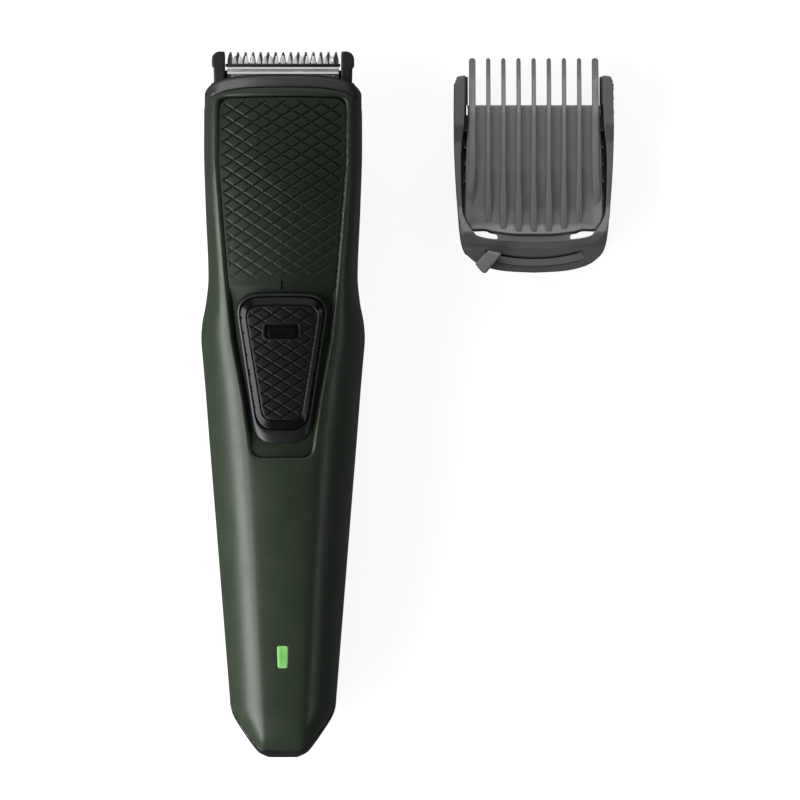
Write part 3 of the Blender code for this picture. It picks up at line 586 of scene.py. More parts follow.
class Shade:
    """Small helper that wires up a Principled BSDF with procedural detail."""

    def __init__(self, name, colour, roughness, metallic=0.0, **sockets):
        self.mat = bpy.data.materials.new(name)
        self.mat.use_nodes = True
        self.tree = self.mat.node_tree
        self.shader = self.tree.nodes["Principled BSDF"]
        self.shader.inputs["Base Color"].default_value = (*colour, 1)
        self.shader.inputs["Roughness"].default_value = roughness
        self.shader.inputs["Metallic"].default_value = metallic
        for socket, value in sockets.items():
            self.shader.inputs[socket.replace("_", " ")].default_value = value
        self.colour = colour
        self.roughness = roughness
        self.coords = self.tree.nodes.new("ShaderNodeTexCoord")

    def node(self, kind, **values):
        made = self.tree.nodes.new("ShaderNode" + kind)
        for key, value in values.items():
            if hasattr(made, key) and key not in made.inputs:
                setattr(made, key, value)
            else:
                made.inputs[key.replace("_", " ")].default_value = value
        return made

    def link(self, a, b):
        self.tree.links.new(a, b)

    def noise(self, scale, detail=3.0, stretch=(1, 1, 1)):
        """Noise in object space: scale is features per metre."""
        mapping = self.node("Mapping")
        mapping.inputs["Scale"].default_value = stretch
        noise = self.node("TexNoise", Scale=scale, Detail=detail)
        self.link(self.coords.outputs["Object"], mapping.inputs["Vector"])
        self.link(mapping.outputs["Vector"], noise.inputs["Vector"])
        return noise.outputs["Fac"]

    def spread(self, value, low, high):
        """Maps 0.3 to 0.7 of a noise onto a range."""
        ranged = self.node("MapRange")
        ranged.inputs["From Min"].default_value = 0.3
        ranged.inputs["From Max"].default_value = 0.7
        ranged.inputs["To Min"].default_value = low
        ranged.inputs["To Max"].default_value = high
        self.link(value, ranged.inputs["Value"])
        return ranged.outputs["Result"]

    def tint(self, value, dark, light):
        """Base colour between a darker and a lighter tone."""
        mix = self.node("Mix", data_type="RGBA")
        mix.inputs[6].default_value = (*[c * dark for c in self.colour], 1)
        mix.inputs[7].default_value = (*[c * light for c in self.colour], 1)
        self.link(value, mix.inputs[0])
        self.link(mix.outputs[2], self.shader.inputs["Base Color"])
        return self

    def rough(self, value, amount):
        self.link(self.spread(value, self.roughness - amount, self.roughness + amount),
                  self.shader.inputs["Roughness"])
        return self

    def bump(self, value, strength, distance):
        bump = self.node("Bump", Strength=strength, Distance=distance)
        self.link(value, bump.inputs["Height"])
        self.link(bump.outputs["Normal"], self.shader.inputs["Normal"])
        return self


def moulded(name, colour, roughness, grain=2600, bump=0.12, vary=0.06, **sockets):
    """Moulded plastic: fine spark-eroded grain, faint flow marks and handling marks."""
    shade = Shade(name, colour, roughness, **sockets)
    shade.tint(shade.noise(45, 4), 1 - vary, 1 + vary)
    shade.rough(shade.noise(180, 6), 0.05)
    shade.bump(shade.noise(grain, 2), bump, 0.00002)
    return shade.mat


def polished(name, colour, roughness, scratch=(1, 60, 1), metallic=1.0):
    """Ground metal: fine lines along one axis and slight stains."""
    shade = Shade(name, colour, roughness, metallic)
    shade.tint(shade.noise(120, 4), 0.88, 1.06)
    shade.rough(shade.noise(900, 4, scratch), 0.08)
    shade.bump(shade.noise(1500, 3, scratch), 0.05, 0.00001)
    return shade.mat


def painted_band(name, colour, roughness, stripe):
    """Printed sleeve with a lighter band round it."""
    shade = Shade(name, colour, roughness)
    shade.tint(shade.spread(shade.noise(stripe, 0, (0.02, 1, 0.02)), 0, 1), 0.6, 1.6)
    shade.rough(shade.noise(300, 4), 0.06)
    return shade.mat


def board_material():
    """Circuit board: solder mask with faint tracks."""
    shade = Shade("board_mask", (0.01, 0.09, 0.03), 0.35)
    cells = shade.node("TexVoronoi", Scale=420.0, feature="DISTANCE_TO_EDGE")
    shade.link(shade.coords.outputs["Object"], cells.inputs["Vector"])
    shade.tint(cells.outputs["Distance"], 0.7, 3.5)
    shade.rough(shade.noise(600, 3), 0.08)
    return shade.mat


LAMP_SPREAD = (0.0018, 0.0042, 0.004)      # metres from the lamp's middle to its pale edge


def lamp_material():
    """Lit light pipe: deep green in the middle and paler towards its edge."""
    shade = Shade("lamp_glow", (0.03, 0.12, 0.02), 0.25)
    low, high = node_box("led_window")
    spot = shade.node("TexGradient", gradient_type="SPHERICAL")
    mapping = shade.node("Mapping", vector_type="TEXTURE")
    mapping.inputs["Location"].default_value = (
        0, (low[1] + high[1]) / 2 * MM, high[2] * MM)
    mapping.inputs["Scale"].default_value = LAMP_SPREAD
    shade.link(shade.coords.outputs["Object"], mapping.inputs["Vector"])
    shade.link(mapping.outputs["Vector"], spot.inputs["Vector"])
    glow = shade.node("Mix", data_type="RGBA")
    glow.inputs[6].default_value = (0.32, 0.62, 0.24, 1)
    glow.inputs[7].default_value = (0.13, 0.48, 0.08, 1)
    shade.link(spot.outputs["Fac"], glow.inputs[0])
    shade.link(glow.outputs[2], shade.shader.inputs["Emission Color"])
    streaks = shade.spread(shade.noise(2500, 2, (1, 0.05, 1)), 0.75, 1.05)
    shade.link(streaks, shade.shader.inputs["Emission Strength"])
    shade.tint(shade.noise(800, 2), 0.9, 1.1)
    return shade.mat


def make_materials():
    return {
        "green": moulded("green_satin", (0.0225, 0.035, 0.0195), 0.40, bump=0.10,
                         Coat_Weight=0.08, Coat_Roughness=0.25),
        "black": moulded("black_satin", (0.010, 0.010, 0.011), 0.40, bump=0.12),
        "rim": moulded("rim_grey", (0.022, 0.022, 0.024), 0.34, bump=0.10),
        "panel": moulded("panel_green", (0.018, 0.025, 0.016), 0.42, bump=0.10,
                         Specular_IOR_Level=0.3),
        "bezel": moulded("bezel_satin", (0.014, 0.014, 0.016), 0.33, bump=0.06),
        "gloss": moulded("slider_gloss", (0.004, 0.004, 0.005), 0.22, bump=0.02, vary=0.15,
                         Specular_IOR_Level=0.24),
        "pad": moulded("pad_rubber", (0.009, 0.008, 0.010), 0.45, grain=3200, bump=0.2,
                       Specular_IOR_Level=0.25),
        "unit": moulded("unit_black", (0.006, 0.006, 0.007), 0.42, bump=0.12),
        "steel": polished("blade_steel", (0.70, 0.70, 0.70), 0.20),
        "clip": polished("clip_steel", (0.75, 0.75, 0.75), 0.42, (1, 8, 1)),
        "teeth": polished("tooth_steel", (0.55, 0.55, 0.55), 0.16, (60, 1, 1)),
        "cutter": polished("cutter_steel", (0.85, 0.85, 0.85), 0.38, (60, 1, 1), 0.5),
        "nickel": polished("nickel_plate", (0.66, 0.64, 0.58), 0.3),
        "brass": polished("brass_bush", (0.72, 0.50, 0.20), 0.3),
        "battery": painted_band("battery_sleeve", (0.02, 0.07, 0.22), 0.35, 90),
        "board": board_material(),
        "chip": moulded("chip_epoxy", (0.02, 0.02, 0.02), 0.55),
        "white": moulded("white_acetal", (0.66, 0.66, 0.62), 0.38),
        "red": moulded("lead_red", (0.40, 0.02, 0.02), 0.45, grain=900),
        "lamp": lamp_material(),
        "frame": moulded("comb_frame_grey", (0.070, 0.070, 0.071), 0.45),
        "insert": moulded("comb_insert_grey", (0.115, 0.115, 0.117), 0.45),
        "lever": moulded("lever_grey", (0.115, 0.115, 0.117), 0.42),
    }


MAT = make_materials()


# ---- shells

Q_SCALE = 26.0         # millimetres across the front half of a section
LIP = 0.2              # radius of the shells' edges
FRONT_THICK = 1.9
REAR_THICK = 1.5
EDGE_Q = 1 - SEAM / 20
COLLAR_CLEARANCE = 0.05
SOCKET_RADIUS = 1.85
SCREW_GAP = 0.3
SCREW_HOLE = 1.4


def arch_on_handle(shape, q, shift):
    """u of the collar's edge at q, found by repeated substitution."""
    u = shape[1] + shape[2]
    for _ in range(6):
        x = float(on_handle([q], [u])[0, 0])
        u = arch(shape, x) + shift
    return u


def arch_line(from_q, to_q, count=90, fold=False):
    """Upper edge of a shell as (scaled q, u). With fold, q is counted from the back."""
    out = []
    for r in np.linspace(from_q, to_q, count):
        q = 2 - abs(r) if fold else r
        out.append((r * Q_SCALE, arch_on_handle(RIM_LOW, q, -COLLAR_CLEARANCE - LIP)))
    return out


def tail_line(grow, fold=False):
    """Front shell's tapered tail as (scaled q, u), from the right seam to the left one."""
    half, length = GREEN_TAIL[0][0], TAIL_START - GREEN_TAIL[-1][1]
    right = [(x * (1 + grow / half), TAIL_START + (y - TAIL_START) * (1 + grow / length))
             for x, y in flowing(GREEN_TAIL)]
    out = []
    for x, y in right + [(-x, y) for x, y in reversed(right[:-1])]:
        u = u_of(y)
        q = min(abs(q_of(x, u)), EDGE_Q)
        out.append((math.copysign(2 - q if fold else q, x) * Q_SCALE, u))
    return out


def plan_to_handle(loop, back=False):
    """Outline in plan as (scaled q, u) on the front face, or on the back."""
    out = []
    for x, y in loop:
        u = u_of(y)
        out.append((q_of(x, u, back) * Q_SCALE, u))
    return out


def shield_wall(grow=0.0):
    """Wall of the panel's recess."""
    return bowed(mirrored(SHIELD, SHIELD_RADIUS, grow), SHIELD_BOW, 0.0)


def shield_edge():
    """Where the shell starts to roll over into the recess."""
    side = [(x + 0.6, y) for x, y in SHIELD]
    side[0] = (side[0][0], SHIELD[0][1] + 0.55)
    side[-1] = (side[-1][0], SHIELD[-1][1] - 0.6)
    return bowed(mirrored(side, SHIELD_RADIUS + 0.5), SHIELD_BOW, 0.0)


def front_shell():
    """Green shell, whose edge rolls over into the panel's recess."""
    outer = (arch_line(-EDGE_Q, EDGE_Q) + [(EDGE_Q * Q_SCALE, TAIL_START + 1)]
             + tail_line(-LIP) + [(-EDGE_Q * Q_SCALE, TAIL_START + 1)])
    edge = spaced(shield_edge(), 0.5)
    lamp = spaced(mirrored(LAMP, 0.4, 0.2), 0.2)
    flat, faces = flat_patch(outer, [plan_to_handle(edge), plan_to_handle(lamp)], 0.75)
    surface = on_handle(flat[:, 0] / Q_SCALE, flat[:, 1])
    radius = np.full(len(surface), LIP)
    radius[distance_to(surface[:, :2], lamp) < 0.1] = 0.12
    at_edge = (distance_to(surface[:, :2], edge) < 0.08) & (surface[:, 2] > PART_LINE + 5)
    radius[at_edge] = distance_to(surface[at_edge, :2], shield_wall())
    return thick_patch(surface, faces, radius, FRONT_THICK, steps=6)


def rear_shell():
    """Black shell: the back of the handle and the rim round the tail."""
    tail = tail_line(COLLAR_CLEARANCE + LIP, fold=True)
    half = len(tail) // 2
    right, left = tail[:half + 1], tail[half:]
    right[-1] = (2 * Q_SCALE, right[-1][1])
    left[0] = (-2 * Q_SCALE, left[0][1])
    outer = (arch_line(-EDGE_Q, EDGE_Q, fold=True) + [(EDGE_Q * Q_SCALE, TAIL_START + 1)]
             + right + [(2 * Q_SCALE, U_END), (-2 * Q_SCALE, U_END)] + left
             + [(-EDGE_Q * Q_SCALE, TAIL_START + 1)])
    low, high = node_box("shell_screw")
    screw_y = (low[1] + high[1]) / 2
    hole = (high[0] - low[0]) / 2 + SCREW_GAP
    ring = plan_to_handle(circle(0, screw_y, hole + SCREW_GAP), back=True)
    flat, faces = flat_patch(outer, [ring], 0.85)
    r = flat[:, 0] / Q_SCALE
    surface = on_handle(np.copysign(2 - np.abs(r), r), flat[:, 1])
    surface[np.abs(r) > 2 - 1e-6, 0] = 0.0
    surface, faces = weld(surface, faces)
    skin = thick_patch(surface, facing_out(surface, faces), 0.3, REAR_THICK)
    sink = low[2] - 0.6
    seat, top = sink + 2.8, sink + 3.4
    boss = turned([(hole, sink), (hole, seat), (SCREW_HOLE, seat), (SCREW_HOLE, top),
                   (hole + 1, top), (hole + 1, sink + 0.3)], (0, screw_y))
    return joined([skin, boss, tail_end()])


def tail_end():
    """Flat end of the tail with the round hole of the charging socket."""
    count = 64
    oval = on_handle([4 * i / count - 2 for i in range(count)], [U_END] * count)
    end_y = oval[0, 1]
    turns = [math.atan2(z - PART_LINE, x) for x, _, z in oval]

    def scaled(across, upright, y):
        return [(x * across, y, PART_LINE + (z - PART_LINE) * upright) for x, _, z in oval]

    def round_ring(radius, y):
        return [(radius * math.cos(t), y, PART_LINE + radius * math.sin(t)) for t in turns]

    rings = [scaled(0.9, 0.9, end_y + 1.2), scaled(1.0, 1.0, end_y + 0.35),
             scaled(0.93, 0.96, end_y), round_ring(SOCKET_RADIUS + 0.15, end_y - 0.02),
             round_ring(SOCKET_RADIUS, end_y + 0.15), round_ring(SOCKET_RADIUS, end_y + 3.5),
             round_ring(SOCKET_RADIUS + 0.25, end_y + 3.5)]
    return lofted(rings, torus=True)


def weld(points, faces, cell=1e-4):
    """Merges points that coincide."""
    keys = {}
    remap = np.zeros(len(points), int)
    kept = []
    for i, p in enumerate(points):
        key = tuple(np.round(p / cell).astype(int))
        if key not in keys:
            keys[key] = len(kept)
            kept.append(p)
        remap[i] = keys[key]
    faces = remap[np.array(faces)]
    good = ((faces[:, 0] != faces[:, 1]) & (faces[:, 1] != faces[:, 2])
            & (faces[:, 0] != faces[:, 2]))
    return np.array(kept), faces[good]


def facing_out(surface, faces):
    """Turns faces so that they point away from the handle's axis."""
    p = surface[faces]
    normals = np.cross(p[:, 1] - p[:, 0], p[:, 2] - p[:, 0])
    centre = p.mean(axis=1) - np.array([0, 0, PART_LINE])
    centre[:, 1] = 0
    return faces[:, ::-1] if (normals * centre).sum() < 0 else faces


# ---- collar

RIM_ROUND = 0.9
RIM_INSET = 0.1
RIM_FOOT = [(0.0, 0.30), (0.08, 0.10), (0.25, 0.0)]    # rise and inset of its lower rounding
RIM_POINTS = 160
RIM_QS = [4 * i / RIM_POINTS - 2 for i in range(RIM_POINTS)]
MOUTH = (16.1, 12.3, 21.7)         # half-width, low and high of the opening in the collar
POCKET = (13.4, 12.4, 21.5)        # that the cutting unit plugs into
PASSAGE = (7.2, 12.3, 20.2)        # way through to the motor
COLLAR_MIDDLE = 70.0
MOUTH_FLOOR = 68.6
POCKET_FLOOR = 66.0
SLEEVE = [(58.0, 4.2), (64.0, 3.5)]    # Y, and how far it lies inside the handle's surface
NECK_INSET = 2.2
SECTION_MIDDLE = 17.2


def rim_ring(us, shrink):
    """Ring round the handle, drawn in towards its axis."""
    points = on_handle(RIM_QS, us)
    flat = points - np.array([0, 0, SECTION_MIDDLE])
    flat[:, 1] = 0
    return points - flat / np.linalg.norm(flat, axis=1)[:, None] * shrink


def opening_ring(shape, radius):
    """Points of a rounded rectangle in the directions that the rim's points have."""
    half, low, high = shape
    loop = rounded([(-half, low), (half, low), (half, high), (-half, high)], radius, 4)
    dense = np.array(spaced(loop, 0.05))
    angles = np.arctan2(dense[:, 0], dense[:, 1] - SECTION_MIDDLE)
    order = np.argsort(angles)
    points = on_handle(RIM_QS, [COLLAR_MIDDLE] * RIM_POINTS)
    want = np.arctan2(points[:, 0], points[:, 2] - SECTION_MIDDLE)
    return np.stack([np.interp(want, angles[order], dense[order, k], period=2 * math.pi)
                     for k in (0, 1)], axis=1)


def at_level(ring, level):
    """Opening's points at a Y, or below the collar's top edge when level is negative."""
    return np.array([(x, level if level > 0 else arch(RIM_TOP, x) + level, z)
                     for x, z in ring])


def head_rim():
    """Collar: a rounded band, its deck, and the pocket that the cutting unit plugs into."""
    lows = [arch_on_handle(RIM_LOW, q, 0.0) for q in RIM_QS]
    tops = [arch_on_handle(RIM_TOP, q, 0.0) for q in RIM_QS]
    mouth = opening_ring(MOUTH, 0.8)
    pocket = opening_ring(POCKET, 0.5)
    passage = opening_ring(PASSAGE, 0.5)
    rings = [rim_ring([y] * RIM_POINTS, shrink) for y, shrink in SLEEVE]
    rings.append(rim_ring(lows, NECK_INSET))
    for rise, shrink in RIM_FOOT:
        rings.append(rim_ring([u + rise for u in lows], RIM_INSET + shrink))
    for share in (0.25, 0.5, 0.75):
        rings.append(rim_ring([a + (b - RIM_ROUND - a) * share for a, b in zip(lows, tops)],
                              RIM_INSET))
    for k in range(7):
        angle = math.pi / 2 * k / 6
        rings.append(rim_ring([u - RIM_ROUND * (1 - math.sin(angle)) for u in tops],
                              RIM_INSET + RIM_ROUND * (1 - math.cos(angle))))
    deck_start, deck_end = rings[-1], at_level(mouth, -0.1)
    rings += [deck_start + (deck_end - deck_start) * share for share in (0.35, 0.7, 1.0)]
    rings += [at_level(mouth, -0.4), at_level(mouth, MOUTH_FLOOR), at_level(pocket, MOUTH_FLOOR),
              at_level(pocket, POCKET_FLOOR), at_level(passage, POCKET_FLOOR),
              at_level(passage, SLEEVE[0][0])]
    return lofted(rings, torus=True)


# ---- diamond pattern

def lattice(cell, box, shift, steps=10):
    """Points of a fine grid that lines up with a diamond pattern."""
    (x0, y0), (x1, y1) = box
    width, height = cell
    reach = int(max(abs(x0), abs(x1)) / width + max(abs(y0), abs(y1)) / height) + 20
    counts = np.arange(-reach * steps, reach * steps + 1)
    a, b = np.meshgrid(counts, counts)
    x = (a + b).ravel() / (2 * steps) * width + shift[0]
    y = (a - b).ravel() / (2 * steps) * height + shift[1]
    keep = (x > x0) & (x < x1) & (y > y0) & (y < y1)
    return np.stack([x[keep], y[keep]], axis=1)


def diamonds(x, y, cell, shift):
    """Height from -1 in the grooves to 0 on the diamonds."""
    a = (x - shift[0]) / cell[0] + (y - shift[1]) / cell[1]
    b = (x - shift[0]) / cell[0] - (y - shift[1]) / cell[1]
    near = np.minimum(np.abs(a - np.round(a)), np.abs(b - np.round(b)))
    return ramp(near, GROOVE_SHARE) - 1


PANEL_CELL = (4.39, 2.87)
PANEL_SHIFT = (0.0, 47.3)
PANEL_SINK = 0.8       # panel below the shell's face
MOAT = 1.0             # how much deeper it lies beside the switch
MOAT_Y = (-9.5, 26.5)
PATTERN_END = 27.9     # the grooves start here and get deeper towards the blades
SHALLOWEST = 0.15
DEEPEST = 0.37
PANEL_BORDER = 0.55    # smooth strip round the pattern
INDEX_LINE = (0.17, 25.5, 27.6)    # half-width, start and end
INDEX_DEPTH = 0.6
GROOVE_SHARE = 0.11    # half of a groove's share of a cell
PAD_CELL = (4.35, 2.70)
PAD_SHIFT = (0.0, 5.2)


def front_panel():
    """Recessed panel: diamonds that get shallower down the handle, and an index line."""
    low_x, low_y = SHIELD[-1]
    side = SHIELD[:-1] + [(low_x + 0.25, low_y - 0.42)]
    outline = bowed(mirrored(side, SHIELD_RADIUS, -0.6), SHIELD_BOW, 0.0)
    extra = lattice(PANEL_CELL, ((-16, -13), (16, 71)), PANEL_SHIFT)
    flat, faces = flat_patch(outline, [], 0.30, extra)
    x, y = flat[:, 0], flat[:, 1]
    margin = ramp(distance_to(flat, outline) - PANEL_BORDER, 0.3)
    depth = margin * ramp(y - PATTERN_END, 1.2) * (
        SHALLOWEST + (DEEPEST - SHALLOWEST) * ramp(y - PATTERN_END, 20.0))
    moat = MOAT * ramp(MOAT_Y[1] - y, 3.0) * ramp(y - MOAT_Y[0], 3.5)
    z = front_height(x, y) - PANEL_SINK - moat
    z += depth * diamonds(x, y, PANEL_CELL, PANEL_SHIFT)
    half, start, end = INDEX_LINE
    z -= INDEX_DEPTH * ((np.abs(x) < half) & (y > start) & (y < end))
    return thick_patch(np.column_stack([x, y, z]), faces, 0.12, 1.5, steps=3)


# ---- power switch

BEZEL_RADIUS = 5.0
BEZEL_LEVEL = -0.9     # levels are counted from the handle's face
BEZEL_RISE = 0.8
SLIDER_RADIUS = 4.2
SLIDER_LEVEL = 0.6
CREST_RADIUS = 2.9
CREST_RISE = 0.7
SEAT_DROP = 0.35
SLIDER_STEM_Y = 5.5
PAD_RADIUS = 2.7
PAD_LEVEL = 1.12
PAD_ROUND = 0.2
PAD_GROOVE = 0.36
FRAME_RISE = 0.2       # raised frame round the pad's window
FRAME_HALF = 0.22


def switch_outline(right, radius, grow):
    """Outline of one ring of the switch, its ends slightly arched."""
    return bowed(mirrored(right, radius, grow), 0.3, 0.2)


def on_crown(x, level):
    """Height of a level that follows the curve of the handle's face."""
    return SWITCH_FACE + level - CROWN * x ** 2


def switch_bezel():
    """Rounded surround, with a wide lip below the slider."""
    outline = switch_outline(BEZEL, BEZEL_RADIUS, -0.15)
    opening = switch_outline(SLIDER, SLIDER_RADIUS, 0.22)
    flat, faces = flat_patch(outline, [opening], 0.28)
    outer, inner = distance_to(flat, outline), distance_to(flat, opening)
    share = np.clip(1.15 * outer / (outer + inner), 0, 1)
    z = on_crown(flat[:, 0], BEZEL_LEVEL) + BEZEL_RISE * np.sin(math.pi / 2 * share)
    return thick_patch(np.column_stack([flat, z]), faces, 0.15, 1.2, steps=4)


def switch_slider():
    """Glossy slider: a skirt that slopes up to a crest, a seat for the pad, a tab, a stem."""
    outline = switch_outline(SLIDER, SLIDER_RADIUS, -0.2)
    crest = switch_outline(PAD, CREST_RADIUS, 0.12)
    seat = switch_outline(PAD, PAD_RADIUS, -0.25)
    flat, faces = flat_patch(outline, [], 0.35, creases=[crest + crest[:1], seat + seat[:1]])
    from_edge, from_crest = distance_to(flat, outline), distance_to(flat, crest)
    rise = np.where(inside(flat, crest), CREST_RISE - SEAT_DROP * ramp(from_crest, 0.37),
                    CREST_RISE * from_edge / (from_edge + from_crest))
    z = on_crown(flat[:, 0], SLIDER_LEVEL) + rise
    skirt = thick_patch(np.column_stack([flat, z]), faces, 0.2, 0.45)
    low, high = node_box("switch_slider")
    tab = tilted_tab(WINDOW[1][1] + 0.5, WINDOW[0][1] - 1.15, 3.15, high[2] - 0.2)
    stem = soft_box((-0.9, SLIDER_STEM_Y - 1, low[2]),
                    (0.9, SLIDER_STEM_Y + 1, on_crown(0, SLIDER_LEVEL)), 0.15)
    return joined([skirt, tab, stem])


def tilted_tab(y0, y1, half, top):
    """Small block in the pad's window, its top sloping down towards the blades."""
    outline = mirrored([(half - 0.12, y1 - 0.12), (half - 0.22, y0 + 0.12)], 0.4)
    flat, faces = flat_patch(outline, [], 0.3)
    z = top - 0.45 * (flat[:, 1] - y0) / (y1 - y0)
    return thick_patch(np.column_stack([flat, z]), faces, 0.12, 1.0, steps=3)


def switch_pad():
    """Soft pad with diamonds, a smooth border and a raised frame round its window."""
    outline = switch_outline(PAD, PAD_RADIUS, -0.22)
    window = mirrored(WINDOW, 0.6, -0.25)
    extra = lattice(PAD_CELL, ((-9, -5), (9, 23)), PAD_SHIFT)
    flat, faces = flat_patch(outline, [window], 0.26, extra)
    x, y = flat[:, 0], flat[:, 1]
    from_edge, from_window = distance_to(flat, outline), distance_to(flat, window)
    margin = ramp(np.minimum(from_edge - 0.3, from_window - 0.5), 0.25)
    z = on_crown(x, PAD_LEVEL) + PAD_ROUND * np.sqrt(ramp(from_edge, 0.5))
    z += PAD_GROOVE * margin * diamonds(x, y, PAD_CELL, PAD_SHIFT)
    z += FRAME_RISE * (1 - ramp(np.abs(from_window - FRAME_HALF), FRAME_HALF))
    return thick_patch(np.column_stack([x, y, z]), faces, 0.12, 0.6, steps=3)


def led_window():
    """Slightly domed light pipe near the tail."""
    outline = mirrored(LAMP, 0.45, -0.05)
    flat, faces = flat_patch(outline, [], 0.15)
    dome = 0.22 * np.sqrt(ramp(distance_to(flat, outline), 0.8))
    z = front_height(flat[:, 0], flat[:, 1]) - 0.1 + dome
    return thick_patch(np.column_stack([flat, z]), faces, 0.06, 2.0, steps=2)


# ---- cutting unit

GUARD = [(15.5, 71.0), (15.6, 75.7), (16.0, 76.1)]     # outer side of the right guard
GUARD_INNER = 13.05
CARRIER = (13.1, 75.2, 15.7)           # half-width, front and top of the moulding
SHADE_BAR = (12.9, 75.85, 76.55)             # half-width, back and front of the black bar that paints the shade at the roots of the cutter's teeth
FIXED_TEETH = (15, 0.26, 0.70)         # count, and the tips' and roots' share of the pitch
CUTTER_TEETH = (17, 0.26, 0.66)


def toothed(half, tip, root, heel, count, top_share, root_share):
    """Plan of a toothed plate with rounded roots and tips."""
    pitch = 2 * half / count
    points = [(-half, heel)]
    for i in range(count):
        centre = -half + (i + 0.5) * pitch
        wide, thin = root_share * pitch / 2, top_share * pitch / 2
        flank = [(wide, root), (wide, root + 0.25 * (tip - root)), (thin, tip - 0.12),
                 (thin * 0.5, tip)]
        points += [(centre - x, y) for x, y in flank] + [(centre + x, y) for x, y in flank[::-1]]
    return points + [(half, heel)]


def fixed_blade():
    """Lower blade, with the wider teeth."""
    low, high = node_box("fixed_blade")
    outline = toothed(high[0] - 0.05, high[1] - 0.06, high[1] - 2.4, low[1], *FIXED_TEETH)
    return plate(inset(outline, 0.1), low[2], high[2], 0.16, gap=0.5)


def cutter_blade():
    """Upper blade, with one more pair of teeth and a narrow tail under the strip."""
    low, high = node_box("cutter_blade")
    heel, tail = 73.2, 7.5         # where the wide part starts, and half the tail's width
    teeth = toothed(high[0] - 0.05, high[1] - 0.06, high[1] - 1.9, heel, *CUTTER_TEETH)
    outline = teeth + [(tail, heel), (tail, low[1]), (-tail, low[1]), (-tail, heel)]
    return plate(outline, low[2], high[2], 0.06, gap=0.5)


def blade_clip():
    """Strip across the cutter, with a raised band along each edge that slopes to the tips."""
    low, high = node_box("blade_clip")
    y0, y1, z0, z1 = low[1], high[1], low[2], high[2]
    band, fall, step = 0.42, 0.14, 0.3
    profile = [(y0, z0), (y0, z1), (y0 + band, z1 - fall), (y0 + band, z1 - step),
               (y1 - band, z1 - step), (y1 - band, z1), (y1, z1 - fall), (y1, z0)]
    rings = [[(x, y, z) for y, z in profile] for x in np.linspace(low[0], high[0], 9)]
    return lofted(rings)


def blade_carrier():
    """Moulding with a rounded guard at each side, and a black bar over the cutter that paints the
    shade at the roots of its teeth.
    """
    low, high = node_box("blade_carrier")
    lip, corner = 0.3, 1.8
    parts = [soft_box((-CARRIER[0], low[1], low[2]), CARRIER, 0.25)]
    right = [(GUARD_INNER + lip, GUARD[0][1])] + [(x - lip, y) for x, y in GUARD]
    right.append((GUARD[-1][0] - lip, high[1] - corner))
    for k in range(1, 7):
        angle = math.pi / 2 * k / 6
        right.append((GUARD[-1][0] - corner + (corner - lip) * math.cos(angle),
                      high[1] - corner + (corner - lip) * math.sin(angle)))
    right.append((GUARD_INNER + lip, high[1] - lip))
    for side in (-1, 1):
        plan = [(x * side, y) for x, y in right[::side]]
        parts.append(plate(plan, low[2] + 0.4, high[2], lip, gap=0.4))
    top = node_box("cutter_blade")[1][2]
    # black bar: painted shade along the roots of the cutter's teeth, not a part that holds the
    # cutter
    half, y0, y1 = SHADE_BAR
    parts.append(soft_box((-half, y0, top + 0.1), (half, y1, top + 0.75), 0.12))
    return joined(parts)


# ---- comb

COMB_X = 56.5          # middle of the comb
FRAME_LIP = 0.2
SWING_Y = 71.66        # centre that the lever swings about
SLOT_RADIUS = 39.4     # the sunk strip that the knob runs over, and its slit
SLOT_REACH = 16.5
STRIP_HALF = 1.05
STRIP_LEVEL = 11.4
SLIT_RADIUS = 38.75
SWING_REST = -14.0     # degrees
RIB_COUNT = 9
RIB_PITCH = 3.42
OUTER_RIB_X = 13.88
RIB_TIP = 78.3
RIB_ROUND = 0.6
RIB_TOP = [(49.0, 11.9), (56.0, 12.7), (66.0, 12.3), (73.5, 9.8), (77.6, 6.9), (RIB_TIP, 6.0)]
RIB_BOTTOM = [(66.9, 8.6), (72.5, 7.2), (77.6, 5.35), (RIB_TIP, 5.6)]
RAIL = ((13.9, 40.5, 5.0), (16.1, 65.4, 6.4))      # opposite corners of blocks of the insert
WALL = ((13.3, 40.4, 5.0), (14.3, 65.4, 9.2))
MARK = ((14.2, -0.18, 6.3), (15.8, 0.18, 10.2))
MARK_START = 61.8      # click marks beside the insert's plate
MARK_PITCH = 3.83
MARK_COUNT = 5
ARM_INNER = 15.2       # inner side of the arms' feet, with the rail's groove above them
GROOVE = (4.7, 6.8)
GROOVE_REACH = 16.35
COMB_OUTER = [(17.1, 74.1), (17.8, 72.6), (18.0, 71.2), (18.0, 59.5), (17.6, 50.0), (17.1, 43.2),
              (16.8, 39.5), (16.3, 36.2), (15.5, 34.2), (14.4, 33.0), (12.5, 31.6), (9.6, 30.6),
              (6.0, 30.0), (0.0, 29.7)]
COMB_INSIDE = [(15.6, 74.1), (15.6, 68.0), (15.8, 63.0), (16.4, 56.5), (16.4, 50.0),
               (16.1, 43.8), (15.3, 41.4), (14.3, 39.9), (13.5, 38.7), (12.5, 37.9), (8.7, 37.2),
               (0.0, 36.8)]
LEDGE_RIDGE = [(17.4, 44.6), (16.7, 41.6), (16.0, 39.3), (15.4, 37.9), (14.4, 36.9),
               (13.0, 36.4), (8.7, 35.9), (4.4, 35.4), (0.0, 35.3)]
INSERT_PLATE = [(14.9, 67.5), (15.0, 62.0), (15.3, 55.0), (15.45, 46.0), (15.35, 42.8),
                (15.0, 41.2), (14.4, 40.3), (13.7, 39.5), (11.0, 39.5), (9.0, 39.0), (4.4, 38.5),
                (0.0, 38.45)]
TONGUE = [(8.9, 39.4), (8.1, 37.7), (8.6, 36.9), (11.9, 36.4), (11.9, 33.2), (10.4, 31.4),
          (8.3, 30.8), (0.0, 30.6)]
KNOB = [(-10.4, 34.7), (-7.1, 34.0), (-10.8, 29.6), (-11.5, 29.6), (-13.2, 31.4), (-13.1, 31.9)]
ARM_TOP = 14.0
ARM_STEP = 2.2         # fall from the arms' high ends to their middle
